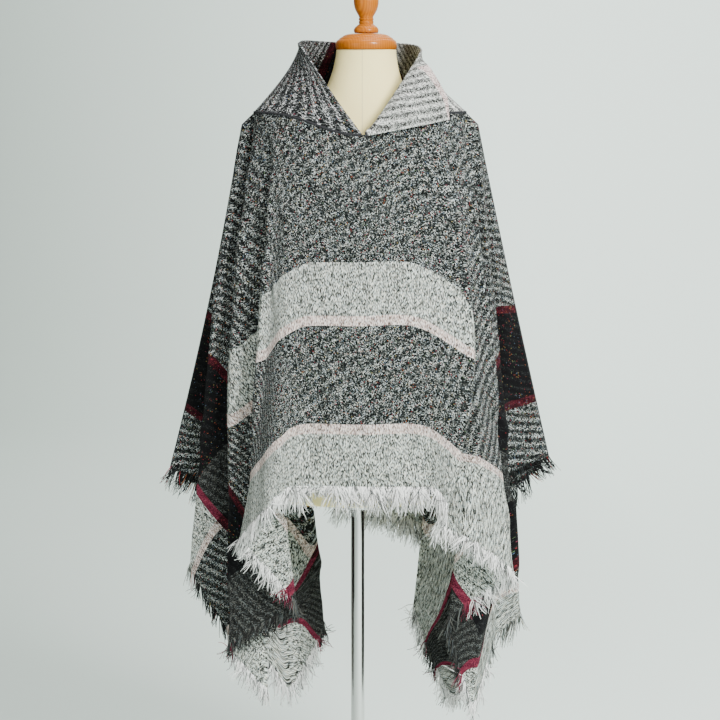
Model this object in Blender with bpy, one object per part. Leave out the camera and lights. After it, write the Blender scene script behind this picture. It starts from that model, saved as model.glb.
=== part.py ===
"""A fringed blanket poncho with a wide stand collar, worn by a limbless dress form on a steel stand.

Metres, +Z up. The front faces -Y and -X is the left of a viewer who stands in front.
"""

import math
from collections import namedtuple

import bmesh
import bpy
from mathutils import Vector

# Garment
SHOULDER_Z = 1.330  # height of both shoulder points
SHOULDER_X = 0.209
CLOTH = 0.0025  # thickness of the blanket cloth
GAP = 0.0003  # between pieces that are sewn or rest together
SEAM_SHIFT = CLOTH / 2 + 0.0009  # front and back lie this far to either side of the sleeve line
NECK_HALF_X = 0.186  # neckline, an ellipse over the shoulders
NECK_FRONT_Y = 0.110
NECK_BACK_Y = 0.100
NECK_SIDE_UP = 0.022  # its height over the shoulder points at the side, the front and the back
NECK_FRONT_UP = -0.016
NECK_BACK_UP = 0.004
NECK_DIP = 7  # how sharply the neckline falls to its front, 2 on a plain ellipse
ROWS = 10  # steps from the neckline to the hem
STEPS_NEAR_A_FOLD = (0.0, 0.12, 0.5, 0.88)  # columns between one fold and the next
SEAM_UP_FRONT = 0.0014  # the collar's edge stands this far over the cloth's, at the front and at the side
SEAM_UP_SIDE = 0.0026
COLLAR_ROWS = 6
COLLAR_STEPS = (0.0, 0.33, 0.67)
FRINGE = 0.036
FRINGE_BAND = 0.003  # height of the strip that the locks hang from
FRINGE_THICK = 0.0018
FRINGE_SLIM = 0.4  # of its full height and thickness, beside a fold
LOCK_PITCH = 0.031

# Stand
FORM_BOTTOM_Z = 0.655
FORM_SIDES = 40
POLE_R = 0.0122
POLE_X = -0.004
NECK_X = 0.011  # the form leans a little to the viewer's right
BASE_R = 0.155
BASE_THICK = 0.012
SOCKET_R = 0.026
SOCKET_TALL = 0.045
FLANGE_R = 0.034
FLANGE_TALL = 0.014

# One row for each fold line, which runs from the top edge down to the fringed edge. top is the place along the
# top edge, from the middle of the neckline: 0.186 is its side end and 0.209 the shoulder point. Then x, y
# and the drop below the shoulder, half way down and at the fringed edge. soft is 1 on an open stretch and
# near 0.3 on a sharp fold.
Fold = namedtuple("Fold", "name top midX midY midDrop endX endY endDrop soft")

FRONT_MIDDLE = Fold("middle", 0.0, 0.0, -0.158, 0.326, 0.0, -0.160, 0.630, 1.0)
FRONT_LEFT = (
    Fold("flank", 0.080, -0.090, -0.150, 0.326, -0.122, -0.155, 0.630, 1.0),
    Fold("swell", 0.125, -0.138, -0.145, 0.345, -0.160, -0.178, 0.662, 0.9),
    Fold("edge_1", 0.148, -0.166, -0.122, 0.395, -0.212, -0.085, 0.730, 0.35),
    Fold("inner_1", 0.158, -0.150, -0.104, 0.425, -0.115, -0.060, 0.855, 0.35),
    Fold("edge_2", 0.182, -0.223, -0.066, 0.482, -0.239, -0.028, 0.935, 0.35),
    Fold("corner", 0.194, -0.180, -0.044, 0.511, -0.169, -0.006, 1.023, 0.35),
    Fold("edge_3", 0.226, -0.263, -0.018, 0.408, -0.310, 0.020, 0.803, 0.35),
    Fold("inner_3", 0.240, -0.232, 0.002, 0.388, -0.228, 0.038, 0.668, 0.35),
    Fold("ridge", 0.255, -0.272, 0.022, 0.322, -0.346, 0.056, 0.624, 0.6),
)
FRONT_RIGHT = (
    Fold("flank", 0.080, 0.090, -0.150, 0.326, 0.128, -0.155, 0.632, 1.0),
    Fold("edge_1", 0.132, 0.190, -0.134, 0.365, 0.153, -0.170, 0.663, 0.5),
    Fold("inner_1", 0.142, 0.172, -0.112, 0.395, 0.140, -0.140, 0.700, 0.5),
    Fold("swell", 0.158, 0.205, -0.104, 0.400, 0.200, -0.146, 0.728, 0.6),
    Fold("edge_2", 0.176, 0.240, -0.076, 0.430, 0.275, -0.058, 0.800, 0.35),
    Fold("inner_2", 0.184, 0.188, -0.056, 0.480, 0.160, -0.036, 0.885, 0.35),
    Fold("corner", 0.196, 0.232, -0.036, 0.520, 0.206, -0.010, 1.052, 0.35),
    Fold("edge_3", 0.226, 0.262, -0.012, 0.440, 0.297, 0.022, 0.893, 0.35),
    Fold("inner_3", 0.240, 0.246, 0.006, 0.380, 0.242, 0.040, 0.650, 0.35),
    Fold("ridge", 0.255, 0.276, 0.022, 0.312, 0.344, 0.056, 0.604, 0.6),
)
BACK_MIDDLE = Fold("middle", 0.0, 0.0, 0.142, 0.350, 0.0, 0.150, 0.706, 1.0)
BACK_LEFT = (
    Fold("flank", 0.080, -0.086, 0.140, 0.350, -0.112, 0.150, 0.700, 1.0),
    Fold("swell", 0.130, -0.150, 0.150, 0.380, -0.170, 0.176, 0.740, 0.8),
    Fold("edge_1", 0.158, -0.200, 0.140, 0.425, -0.222, 0.158, 0.800, 0.35),
    Fold("inner_1", 0.172, -0.110, 0.128, 0.470, -0.070, 0.136, 0.930, 0.35),
    Fold("corner", 0.194, -0.196, 0.106, 0.530, -0.136, 0.116, 1.050, 0.35),
    Fold("edge_3", 0.222, -0.240, 0.084, 0.430, -0.286, 0.096, 0.800, 0.35),
    Fold("inner_3", 0.238, -0.220, 0.062, 0.370, -0.226, 0.076, 0.720, 0.35),
)
BACK_RIGHT = (
    Fold("flank", 0.080, 0.088, 0.140, 0.355, 0.102, 0.152, 0.742, 1.0),
    Fold("swell", 0.130, 0.150, 0.146, 0.385, 0.165, 0.172, 0.800, 0.8),
    Fold("edge_1", 0.158, 0.205, 0.136, 0.430, 0.236, 0.156, 0.850, 0.35),
    Fold("inner_1", 0.172, 0.140, 0.122, 0.470, 0.092, 0.132, 0.900, 0.35),
    Fold("corner", 0.194, 0.200, 0.102, 0.530, 0.176, 0.112, 1.066, 0.35),
    Fold("edge_3", 0.222, 0.245, 0.082, 0.430, 0.270, 0.094, 0.860, 0.35),
    Fold("inner_3", 0.238, 0.224, 0.062, 0.370, 0.226, 0.076, 0.740, 0.35),
)

# Collar, round from its upright left front edge: the place on the neckline in degrees (0 is +X, 90 the back),
# x, y and height over the shoulder at its top edge, and how far it stands outside the straight line half way.
Stay = namedtuple("Stay", "name angle topX topY topUp bulge soft")
COLLAR = (
    Stay("left_edge", -92, -0.104, -0.052, 0.138, 0.004, 1.0),
    Stay("left_front", -122, -0.113, -0.030, 0.146, -0.004, 1.0),
    Stay("left", -165, -0.106, 0.008, 0.150, -0.012, 1.0),
    Stay("left_back", -208, -0.078, 0.066, 0.150, -0.006, 1.0),
    Stay("back_left", -248, -0.030, 0.092, 0.148, 0.0, 1.0),
    Stay("back_right", -292, 0.032, 0.092, 0.147, 0.0, 1.0),
    Stay("right_back", -332, 0.078, 0.066, 0.146, -0.006, 1.0),
    Stay("right", -375, 0.103, 0.012, 0.140, -0.014, 1.0),
    Stay("right_front", -414, 0.108, -0.026, 0.132, -0.004, 1.0),
    Stay("turn", -446, 0.103, -0.062, 0.122, 0.002, 0.5),
)
# The turned-out corner fans from the bottom of the opening: x, y and height of its outer edge, and of its root.
Flap = namedtuple("Flap", "name rootX rootY rootUp topX topY topUp bulge soft")
TURNED = (
    Flap("turned_top", 0.016, -0.121, -0.011, 0.124, -0.082, 0.098, 0.006, 0.7),
    Flap("turned_corner", 0.023, -0.124, -0.015, 0.152, -0.088, 0.050, 0.006, 0.6),
    Flap("turned_hem", 0.029, -0.127, -0.020, 0.156, -0.087, 0.012, 0.004, 1.0),
)

# Dress form: height, half width, depth in front and behind.
Section = namedtuple("Section", "z halfX front back")
FORM = (
    Section(FORM_BOTTOM_Z, 0.148, 0.096, 0.100),
    Section(0.700, 0.152, 0.102, 0.108),
    Section(0.780, 0.150, 0.104, 0.112),
    Section(0.860, 0.136, 0.096, 0.100),
    Section(0.930, 0.124, 0.090, 0.090),
    Section(1.000, 0.126, 0.096, 0.088),
    Section(1.070, 0.138, 0.112, 0.090),
    Section(1.130, 0.150, 0.126, 0.094),
    Section(1.190, 0.160, 0.118, 0.096),
    Section(1.240, 0.170, 0.098, 0.092),
    Section(1.280, 0.178, 0.080, 0.080),
    Section(1.308, 0.170, 0.068, 0.070),
    Section(1.328, 0.146, 0.063, 0.064),
    Section(1.346, 0.118, 0.060, 0.060),
    Section(1.366, 0.092, 0.057, 0.057),
    Section(1.390, 0.073, 0.054, 0.055),
    Section(1.420, 0.061, 0.051, 0.052),
    Section(1.446, 0.055, 0.050, 0.050),
    Section(1.463, 0.053, 0.049, 0.049),
)
NECK_TOP_Z = FORM[-1].z

# Turned wood: radius, height above the neck, bottom to top.
CAP_PROFILE = ((0.000, 0.0), (0.0520, 0.0), (0.0540, 0.004), (0.0545, 0.010), (0.0525, 0.015), (0.0480, 0.018),
               (0.0440, 0.022), (0.0380, 0.0255), (0.0300, 0.028), (0.0230, 0.029), (0.000, 0.029))
FINIAL_PROFILE = ((0.000, 0.0), (0.0215, 0.0), (0.0222, 0.004), (0.0205, 0.009), (0.0160, 0.013), (0.0125, 0.016),
                  (0.0132, 0.019), (0.0120, 0.0215), (0.0134, 0.024), (0.0124, 0.027), (0.0145, 0.032),
                  (0.0190, 0.040), (0.0218, 0.050), (0.0222, 0.060), (0.0205, 0.070), (0.0165, 0.078),
                  (0.0100, 0.084), (0.000, 0.087))


def clear_scene():
    for old in list(bpy.data.objects):
        bpy.data.objects.remove(old, do_unlink=True)


def material(name, colour, roughness, metallic=0.0):
    made = bpy.data.materials.new(name)
    made.use_nodes = True
    shader = made.node_tree.nodes["Principled BSDF"]
    shader.inputs["Base Color"].default_value = (*colour, 1.0)
    shader.inputs["Roughness"].default_value = roughness
    shader.inputs["Metallic"].default_value = metallic
    return made


def keep(name, shape, look, smooth=True):
    """Makes the bmesh an object of the scene, its faces turned out."""
    bmesh.ops.recalc_face_normals(shape, faces=shape.faces)
    mesh = bpy.data.meshes.new(name)
    shape.to_mesh(mesh)
    shape.free()
    if smooth:
        mesh.shade_smooth()
        mesh.set_sharp_from_angle(angle=math.radians(40))
    mesh.materials.append(look)
    made = bpy.data.objects.new(name, mesh)
    bpy.context.scene.collection.objects.link(made)
    return made


def through(t, top, middle, end):
    """The parabola through three values at t = 0, 0.5 and 1."""
    return top * (2 * t * t - 3 * t + 1) + middle * (4 * t - 4 * t * t) + end * (2 * t * t - t)


def neckline(angle):
    """A point of the neckline ellipse, with its angle in degrees."""
    across, along = math.cos(math.radians(angle)), math.sin(math.radians(angle))
    depth, up = (NECK_BACK_Y, NECK_BACK_UP) if along > 0 else (NECK_FRONT_Y, NECK_FRONT_UP)
    height = SHOULDER_Z + NECK_SIDE_UP + (up - NECK_SIDE_UP) * abs(along) ** NECK_DIP
    return Vector((NECK_HALF_X * across, depth * along, height))


def top_edge(place, side, facing):
    """The top edge of a cloth, on the neckline first and then over the shoulder and down the sleeve."""
    if place < NECK_HALF_X:
        point = neckline(facing * math.degrees(math.acos(side * place / NECK_HALF_X)))
        return point + Vector((0, facing * SEAM_SHIFT, 0))
    stops = (
        (NECK_HALF_X, Vector((NECK_HALF_X, 0, SHOULDER_Z + NECK_SIDE_UP))),
        (SHOULDER_X, Vector((SHOULDER_X, 0.002, SHOULDER_Z))),
        (0.260, Vector((0.219, 0.004, SHOULDER_Z - 0.050))),
    )
    for (start, one), (stop, other) in zip(stops, stops[1:]):
        if place <= stop:
            point = one.lerp(other, (place - start) / (stop - start))
            break
    return Vector((side * point.x, point.y + facing * SEAM_SHIFT, point.z))


def on_fold(fold, t, side, facing):
    """A point of a fold line: t is 0 on the top edge and 1 on the fringed edge."""
    top = top_edge(fold.top, side, facing)
    shift = facing * SEAM_SHIFT
    x = through(t, top.x, fold.midX, fold.endX)
    y = through(t, top.y, fold.midY + shift, fold.endY + shift)
    drop = through(t, SHOULDER_Z - top.z, fold.midDrop, fold.endDrop)
    return Vector((x, y, SHOULDER_Z - drop))


def collar_root(angle):
    """A point of the collar's lower edge, just over the neckline."""
    along = math.sin(math.radians(angle))
    up = SEAM_UP_SIDE + (SEAM_UP_FRONT - SEAM_UP_SIDE) * abs(along)
    return neckline(angle) + Vector((0, SEAM_SHIFT * along, up))


def on_stay(stay, t):
    """A point of a collar line: t is 0 on the neckline and 1 on the collar's top edge."""
    top = Vector((stay.topX, stay.topY, SHOULDER_Z + stay.topUp))
    return bulged(collar_root(stay.angle), top, t, stay.bulge)


def on_flap(flap, t):
    root = Vector((flap.rootX, flap.rootY, SHOULDER_Z + flap.rootUp))
    top = Vector((flap.topX, flap.topY, SHOULDER_Z + flap.topUp))
    return bulged(root, top, t, flap.bulge)


def bulged(root, top, t, bulge):
    outward = Vector((root.x + top.x, root.y + top.y, 0)).normalized()
    return root.lerp(top, t) + outward * bulge * math.sin(math.pi * t)


def curve_through(points, softness, shares):
    """Samples a smooth curve through the points. A low softness turns it round its point, in depth first."""
    last = len(points) - 1
    slopes = []
    for i, point in enumerate(points):
        before, after = points[max(i - 1, 0)], points[min(i + 1, last)]
        reach = min((point - before).length or 1e9, (after - point).length or 1e9)
        turn = after - before
        turn.y /= softness[i]
        slopes.append(turn.normalized() * reach * softness[i])
    found = []
    for i in range(last):
        for share in shares[i]:
            s2, s3 = share * share, share * share * share
            found.append(
                points[i] * (2 * s3 - 3 * s2 + 1) + slopes[i] * (s3 - 2 * s2 + share)
                + points[i + 1] * (3 * s2 - 2 * s3) + slopes[i + 1] * (s3 - s2)
            )
    return found + [points[-1]]


def folds_of(left, middle, right):
    """All the fold lines of a cloth from one sleeve to the other, with the side each lies on."""
    return [(fold, -1) for fold in reversed(left)] + [(middle, 1)] + [(fold, 1) for fold in right]


def cloth_section(lines, t, facing, shares):
    points = [on_fold(fold, t, side, facing) for fold, side in lines]
    return curve_through(points, [fold.soft for fold, _ in lines], shares)


def normals_of(grid):
    """The unit normal at each point of a grid of points."""
    rows, columns = len(grid), len(grid[0])
    found = []
    for j in range(rows):
        row = []
        for i in range(columns):
            along = grid[j][min(i + 1, columns - 1)] - grid[j][max(i - 1, 0)]
            down = grid[min(j + 1, rows - 1)][i] - grid[max(j - 1, 0)][i]
            row.append(along.cross(down).normalized())
        found.append(row)
    return found


def wall(grid, thick):
    """A closed wall of even thickness on a grid of points."""
    shape = bmesh.new()
    normals = normals_of(grid)
    layers = []
    for side in (0.5, -0.5):
        layers.append([[shape.verts.new(point + normal * thick * side) for point, normal in zip(*pair)]
                       for pair in zip(grid, normals)])
    rows, columns = len(grid), len(grid[0])
    for layer in layers:
        for j in range(rows - 1):
            for i in range(columns - 1):
                shape.faces.new((layer[j][i], layer[j][i + 1], layer[j + 1][i + 1], layer[j + 1][i]))
    rim = [(0, i) for i in range(columns)] + [(j, columns - 1) for j in range(1, rows)]
    rim += [(rows - 1, i) for i in range(columns - 2, -1, -1)] + [(j, 0) for j in range(rows - 2, 0, -1)]
    for (j, i), (n, m) in zip(rim, rim[1:] + rim[:1]):
        shape.faces.new((layers[0][j][i], layers[0][n][m], layers[1][n][m], layers[1][j][i]))
    return shape


def between(values, shares):
    """The values that lie at the same shares between those given as the points of a curve do."""
    found = [one + (other - one) * share for one, other in zip(values, values[1:]) for share in shares]
    return found + [values[-1]]


def seated(rows, edge):
    """Moves the first of the rows onto the exact edge and fades the move out down the others."""
    moves = [exact - point for exact, point in zip(edge, rows[0])]
    last = len(rows) - 1
    return [[point + move * (1 - j / last) ** 2 for point, move in zip(row, moves)] for j, row in enumerate(rows)]


def cloth_grid(lines, facing):
    shares = [STEPS_NEAR_A_FOLD] * (len(lines) - 1)
    rows = [cloth_section(lines, j / ROWS, facing, shares) for j in range(ROWS + 1)]
    places = between([side * fold.top for fold, side in lines], STEPS_NEAR_A_FOLD)
    return seated(rows, [top_edge(abs(place), math.copysign(1, place), facing) for place in places])


def fringe(name, grid, look):
    """A narrow strip along the fringed edge, parted from it by the gap, with a tapered lock on each stretch.
    Beside a fold the strip is slim and has no lock."""
    normals = normals_of(grid)[-1]
    steps = len(STEPS_NEAR_A_FOLD)
    stops, with_lock = [], []
    last = len(normals) - 1
    for i, (point, above) in enumerate(zip(grid[-1], grid[-2])):
        along = (grid[-1][min(i + 1, last)] - grid[-1][max(i - 1, 0)]).normalized()
        down = (point - above).normalized()
        size = FRINGE_SLIM if i % steps in (0, 1, steps - 1) and 0 < i < last else 1.0
        here = (point, (down - along * down.dot(along)).normalized() * size, normals[i] * size)
        if stops:
            before = stops[-1]
            count = max(1, round((point - before[0]).length / LOCK_PITCH))
            stops += [tuple(a.lerp(b, k / count) for a, b in zip(before, here)) for k in range(1, count)]
            with_lock += [i % steps not in (0, 1)] * count
        stops.append(here)
    shape = bmesh.new()
    rings = []
    for point, down, normal in stops:
        out = normal * FRINGE_THICK / 2
        high = point + down.normalized() * 2 * GAP / down.length ** 2
        low = high + down * FRINGE_BAND
        rings.append([shape.verts.new(corner) for corner in (high + out, high - out, low - out, low + out)])
    for i in range(len(rings) - 1):
        one, other = rings[i], rings[i + 1]
        for a, b in ((0, 1), (1, 2), (3, 0)):
            shape.faces.new((one[a], one[b], other[b], other[a]))
        lock = (one[2], one[3], other[3], other[2])
        if not with_lock[i]:
            shape.faces.new(lock)
            continue
        root = sum((corner.co for corner in lock), Vector()) / 4
        hang = (stops[i][1] + stops[i + 1][1] + Vector((0, 0, -0.5))).normalized()
        long = (FRINGE - FRINGE_BAND) * (0.92 + 0.08 * math.sin(2.4 * i))
        tip = shape.verts.new(root + hang * long)
        for a, b in zip(lock, lock[1:] + lock[:1]):
            shape.faces.new((a, b, tip))
    shape.faces.new(rings[0])
    shape.faces.new(rings[-1])
    return keep(name, shape, look, smooth=False)


def collar(look):
    softness = [line.soft for line in COLLAR + TURNED]
    shares = [COLLAR_STEPS] * (len(softness) - 1)
    grid = []
    for j in range(COLLAR_ROWS + 1):
        t = j / COLLAR_ROWS
        points = [on_stay(line, t) for line in COLLAR] + [on_flap(line, t) for line in TURNED]
        grid.append(curve_through(points, softness, shares))
    edge = [collar_root(angle) for angle in between([line.angle for line in COLLAR], COLLAR_STEPS)]
    return keep("collar", wall(seated(grid, edge + grid[0][len(edge):]), CLOTH), look)


def lean(z):
    """How far the form's middle is to the side at this height."""
    share = (z - FORM_BOTTOM_Z) / (NECK_TOP_Z - FORM_BOTTOM_Z)
    return POLE_X + (NECK_X - POLE_X) * share


def form_body(look):
    shape = bmesh.new()
    rings = []
    for section in FORM:
        ring = []
        for k in range(FORM_SIDES):
            angle = 2 * math.pi * k / FORM_SIDES
            depth = section.back if math.sin(angle) > 0 else section.front
            ring.append(shape.verts.new((lean(section.z) + section.halfX * math.cos(angle),
                                         depth * math.sin(angle), section.z)))
        rings.append(ring)
    for one, other in zip(rings, rings[1:]):
        for k in range(FORM_SIDES):
            n = (k + 1) % FORM_SIDES
            shape.faces.new((one[k], one[n], other[n], other[k]))
    shape.faces.new(rings[0])
    shape.faces.new(rings[-1])
    return keep("form_body", shape, look)


def turned(name, profile, x, z, sides, look):
    """A solid of revolution about the vertical line through x."""
    shape = bmesh.new()
    points = [shape.verts.new((radius, 0, height)) for radius, height in profile]
    edges = [shape.edges.new(pair) for pair in zip(points, points[1:])]
    bmesh.ops.spin(shape, geom=points + edges, axis=(0, 0, 1), cent=(0, 0, 0), angle=2 * math.pi, steps=sides)
    bmesh.ops.remove_doubles(shape, verts=shape.verts, dist=1e-6)
    made = keep(name, shape, look)
    made.location = (x, 0, z)
    return made


def tube(radius, tall):
    """The profile of a plain round bar."""
    return ((0.0, 0.0), (radius, 0.0), (radius, tall), (0.0, tall))


def stand(steel, wood):
    cap_z = NECK_TOP_Z + GAP
    cap_tall = CAP_PROFILE[-1][1]
    turned("neck_cap", CAP_PROFILE, NECK_X, cap_z, 40, wood)
    turned("finial", FINIAL_PROFILE, NECK_X, cap_z + cap_tall + GAP, 28, wood)
    edge = 0.003
    plate = ((0.0, 0.0), (BASE_R - edge, 0.0), (BASE_R, edge), (BASE_R, BASE_THICK - edge),
             (BASE_R - edge, BASE_THICK), (SOCKET_R, BASE_THICK), (SOCKET_R, SOCKET_TALL - edge),
             (SOCKET_R - edge, SOCKET_TALL), (0.0, SOCKET_TALL))
    turned("base_plate", plate, POLE_X, 0.0, 48, steel)
    pole_z = SOCKET_TALL + GAP
    flange_z = FORM_BOTTOM_Z - GAP - FLANGE_TALL
    turned("pole", tube(POLE_R, flange_z - GAP - pole_z), POLE_X, pole_z, 24, steel)
    turned("pole_socket", tube(FLANGE_R, FLANGE_TALL), POLE_X, flange_z, 32, steel)


def main():
    clear_scene()
    tweed = material("tweed_cloth", (0.16, 0.16, 0.16), 0.95)
    yarn = material("fringe_yarn", (0.75, 0.74, 0.72), 0.95)
    linen = material("form_linen", (0.78, 0.72, 0.60), 0.85)
    wood = material("turned_wood", (0.68, 0.36, 0.12), 0.35)
    steel = material("pole_steel", (0.62, 0.61, 0.59), 0.22, metallic=1.0)
    front = folds_of(FRONT_LEFT, FRONT_MIDDLE, FRONT_RIGHT)
    back = folds_of(BACK_LEFT + FRONT_LEFT[-1:], BACK_MIDDLE, BACK_RIGHT + FRONT_RIGHT[-1:])
    for name, lines, facing in (("front", front, -1), ("back", back, 1)):
        grid = cloth_grid(lines, facing)
        keep(name, wall(grid, CLOTH), tweed)
        fringe(f"fringe_{name}", grid, yarn)
    collar(tweed)
    form_body(linen)
    stand(steel, wood)


main()
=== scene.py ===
import math
import random

import bmesh
import bpy
import numpy as np
from mathutils import Matrix, Vector, noise


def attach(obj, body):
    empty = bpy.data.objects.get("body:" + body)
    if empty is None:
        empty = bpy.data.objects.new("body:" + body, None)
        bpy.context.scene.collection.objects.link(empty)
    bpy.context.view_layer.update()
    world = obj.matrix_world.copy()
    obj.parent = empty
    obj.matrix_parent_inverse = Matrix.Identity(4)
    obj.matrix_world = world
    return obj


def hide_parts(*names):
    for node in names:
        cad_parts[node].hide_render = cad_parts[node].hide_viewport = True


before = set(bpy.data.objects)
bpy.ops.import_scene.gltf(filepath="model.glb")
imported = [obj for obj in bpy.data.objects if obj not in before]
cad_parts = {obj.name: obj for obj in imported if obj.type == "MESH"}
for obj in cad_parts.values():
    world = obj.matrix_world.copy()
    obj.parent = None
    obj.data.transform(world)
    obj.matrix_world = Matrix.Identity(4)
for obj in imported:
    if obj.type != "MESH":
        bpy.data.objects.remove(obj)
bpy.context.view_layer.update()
random.seed(7)

# The stand and the cloth share these: heights in metres over the floor, x to the viewer's right, -y to the front
shoulderZ = 1.330
shoulderX = 0.209
shoulderY = 0.002


class Wire:
    # one socket of a material, with a Math node's arithmetic
    def __init__(self, tree, socket):
        self.tree, self.socket = tree, socket

    def math(self, operation, other=None):
        values = {0: self} if other is None else {0: self, 1: other}
        return self.tree.node("ShaderNodeMath", {"operation": operation}, values)

    def __add__(self, other): return self.math("ADD", other)
    def __sub__(self, other): return self.math("SUBTRACT", other)
    def __rsub__(self, other): return self.tree.node("ShaderNodeMath", {"operation": "SUBTRACT"}, {0: other, 1: self})
    def __mul__(self, other): return self.math("MULTIPLY", other)
    def __truediv__(self, other): return self.math("DIVIDE", other)
    def __gt__(self, other): return self.math("GREATER_THAN", other)
    def __lt__(self, other): return self.math("LESS_THAN", other)
    def __abs__(self): return self.math("ABSOLUTE")
    def floor(self): return self.math("FLOOR")
    def part(self): return self.math("FRACT")
    def sine(self): return self.math("SINE")

    def within(self, low, high):
        return (self > low) * (self < high)


class Tree:
    # one material and its nodes
    def __init__(self, name, roughness, metallic=0.0, sheen=0.0, coat=0.0, gloss=0.5):
        self.material = bpy.data.materials.new(name)
        self.material.use_nodes = True
        self.nodes, self.links = self.material.node_tree.nodes, self.material.node_tree.links
        self.shader = self.nodes["Principled BSDF"]
        self.shader.inputs["Roughness"].default_value = roughness
        self.shader.inputs["Metallic"].default_value = metallic
        self.shader.inputs["Sheen Weight"].default_value = sheen
        self.shader.inputs["Coat Weight"].default_value = coat
        self.shader.inputs["Specular IOR Level"].default_value = gloss

    def node(self, kind, settings=None, values=None, output=0):
        made = self.nodes.new(kind)
        for name, value in (settings or {}).items():
            if name == "stops":
                ramp = made.color_ramp
                while len(ramp.elements) < len(value):
                    ramp.elements.new(0.5)
                for element, (place, colour) in zip(ramp.elements, value):
                    element.position, element.color = place, (*colour, 1.0)
            elif name == "interpolation":
                made.color_ramp.interpolation = value
            else:
                setattr(made, name, value)
        for key, value in (values or {}).items():
            if isinstance(value, Wire):
                self.links.new(value.socket, made.inputs[key])
            else:
                made.inputs[key].default_value = value
        return Wire(self, made.outputs[output])

    def uv(self, name="flat"):
        return self.node("ShaderNodeUVMap", {"uv_map": name})

    def place(self):
        return self.node("ShaderNodeTexCoord", output="Object")

    def split(self, vector, axis):
        return self.node("ShaderNodeSeparateXYZ", values={0: vector}, output=axis)

    def join(self, x, y, z=0.0):
        return self.node("ShaderNodeCombineXYZ", values={0: x, 1: y, 2: z})

    def mix(self, share, one, other, blend="MIX"):
        pair = {0: share}
        for key, value in ((6, one), (7, other)):
            pair[key] = value if isinstance(value, Wire) or len(value) == 4 else (*value, 1.0)
        return self.node("ShaderNodeMix", {"data_type": "RGBA", "blend_type": blend}, pair, output=2)

    def ramp(self, value, stops, interpolation="LINEAR"):
        return self.node("ShaderNodeValToRGB", {"stops": stops, "interpolation": interpolation}, {0: value})

    def noise(self, vector, scale, detail=2.0, roughness=0.5, output=0):
        return self.node("ShaderNodeTexNoise", {}, {"Vector": vector, "Scale": scale, "Detail": detail,
                                                    "Roughness": roughness}, output)

    def random(self, vector, output=0):
        return self.node("ShaderNodeTexWhiteNoise", {"noise_dimensions": "3D"}, {"Vector": vector}, output)

    def finish(self, colour, height=None, depth=0.001, strength=1.0):
        self.links.new(colour.socket, self.shader.inputs["Base Color"])
        if height is not None:
            bump = self.node("ShaderNodeBump", {}, {"Height": height, "Distance": depth, "Strength": strength})
            self.links.new(bump.socket, self.shader.inputs["Normal"])
        return self.material


# How far from the middle of the cut the coloured warps lie, and how far down from the shoulder the coloured wefts
plaid = {
    "redInner": (0.548, 0.563), "black": (0.563, 0.730), "redOuter": (0.730, 0.745),
    "lightUpper": (0.345, 0.440), "pinkUpper": (0.440, 0.458),
    "pinkLower": (0.633, 0.651), "lightLower": (0.651, 0.800),
    "tuck": 0.186, "tuckSlant": 0.66, "tuckEnd": 0.52,  # where the tuck starts and ends, and how it slants
}
weave = {
    "yarnWide": 0.0011, "yarnLong": 0.0030,  # the slanting floats
    "uprightWide": 0.0011, "uprightLong": 0.0035,  # the upright floats of the pale bands
    "rib": 0.0160, "lean": 0.32,  # width of the side ribs, and how far they lean
    "twill": 0.023, "twillLean": 0.6,  # the faint slanting lines of the middle
    "calm": 0.10, "ribRise": 4.0,  # how far out the ribs start, and how fast they gain
    "wander": 0.0012, "fleck": 0.986, "bump": 0.0016,
}
yarnColour = {
    "tweed": ((0.0, (0.001, 0.001, 0.001)), (0.38, (0.002, 0.003, 0.003)), (0.58, (0.014, 0.016, 0.016)),
              (0.73, (0.058, 0.062, 0.062)), (0.86, (0.24, 0.255, 0.25)), (1.0, (0.80, 0.82, 0.81))),
    "light": ((0.0, (0.010, 0.011, 0.010)), (0.18, (0.045, 0.047, 0.044)), (0.42, (0.22, 0.226, 0.212)),
              (0.66, (0.53, 0.545, 0.51)), (1.0, (0.97, 0.985, 0.93))),
    "black": ((0.0, (0.0015, 0.0015, 0.002)), (0.75, (0.003, 0.003, 0.004)), (0.93, (0.008, 0.009, 0.009)),
              (1.0, (0.032, 0.034, 0.034))),
    "charcoal": ((0.0, (0.002, 0.002, 0.002)), (0.45, (0.008, 0.008, 0.008)), (0.72, (0.028, 0.029, 0.028)),
                 (1.0, (0.15, 0.155, 0.15))),
    "red": ((0.0, (0.006, 0.001, 0.0015)), (0.5, (0.028, 0.0025, 0.006)), (0.85, (0.075, 0.007, 0.015)),
            (1.0, (0.17, 0.025, 0.035))),
    "rose": ((0.0, (0.045, 0.003, 0.011)), (0.5, (0.13, 0.010, 0.032)), (1.0, (0.30, 0.05, 0.085))),
    "pink": ((0.0, (0.06, 0.041, 0.036)), (0.32, (0.42, 0.305, 0.28)), (0.62, (0.83, 0.68, 0.64)),
             (1.0, (1.0, 0.90, 0.86))),
}
fleckColour = ((0.0, (0.34, 0.03, 0.035)), (0.28, (0.45, 0.13, 0.04)), (0.42, (0.42, 0.33, 0.10)),
               (0.56, (0.11, 0.18, 0.28)), (0.74, (0.13, 0.22, 0.10)), (0.9, (0.32, 0.04, 0.09)))
toneColour = ((0.0, (0.80, 0.92, 1.0)), (0.5, (0.96, 1.0, 0.95)), (1.0, (1.0, 0.94, 0.84)))


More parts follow.
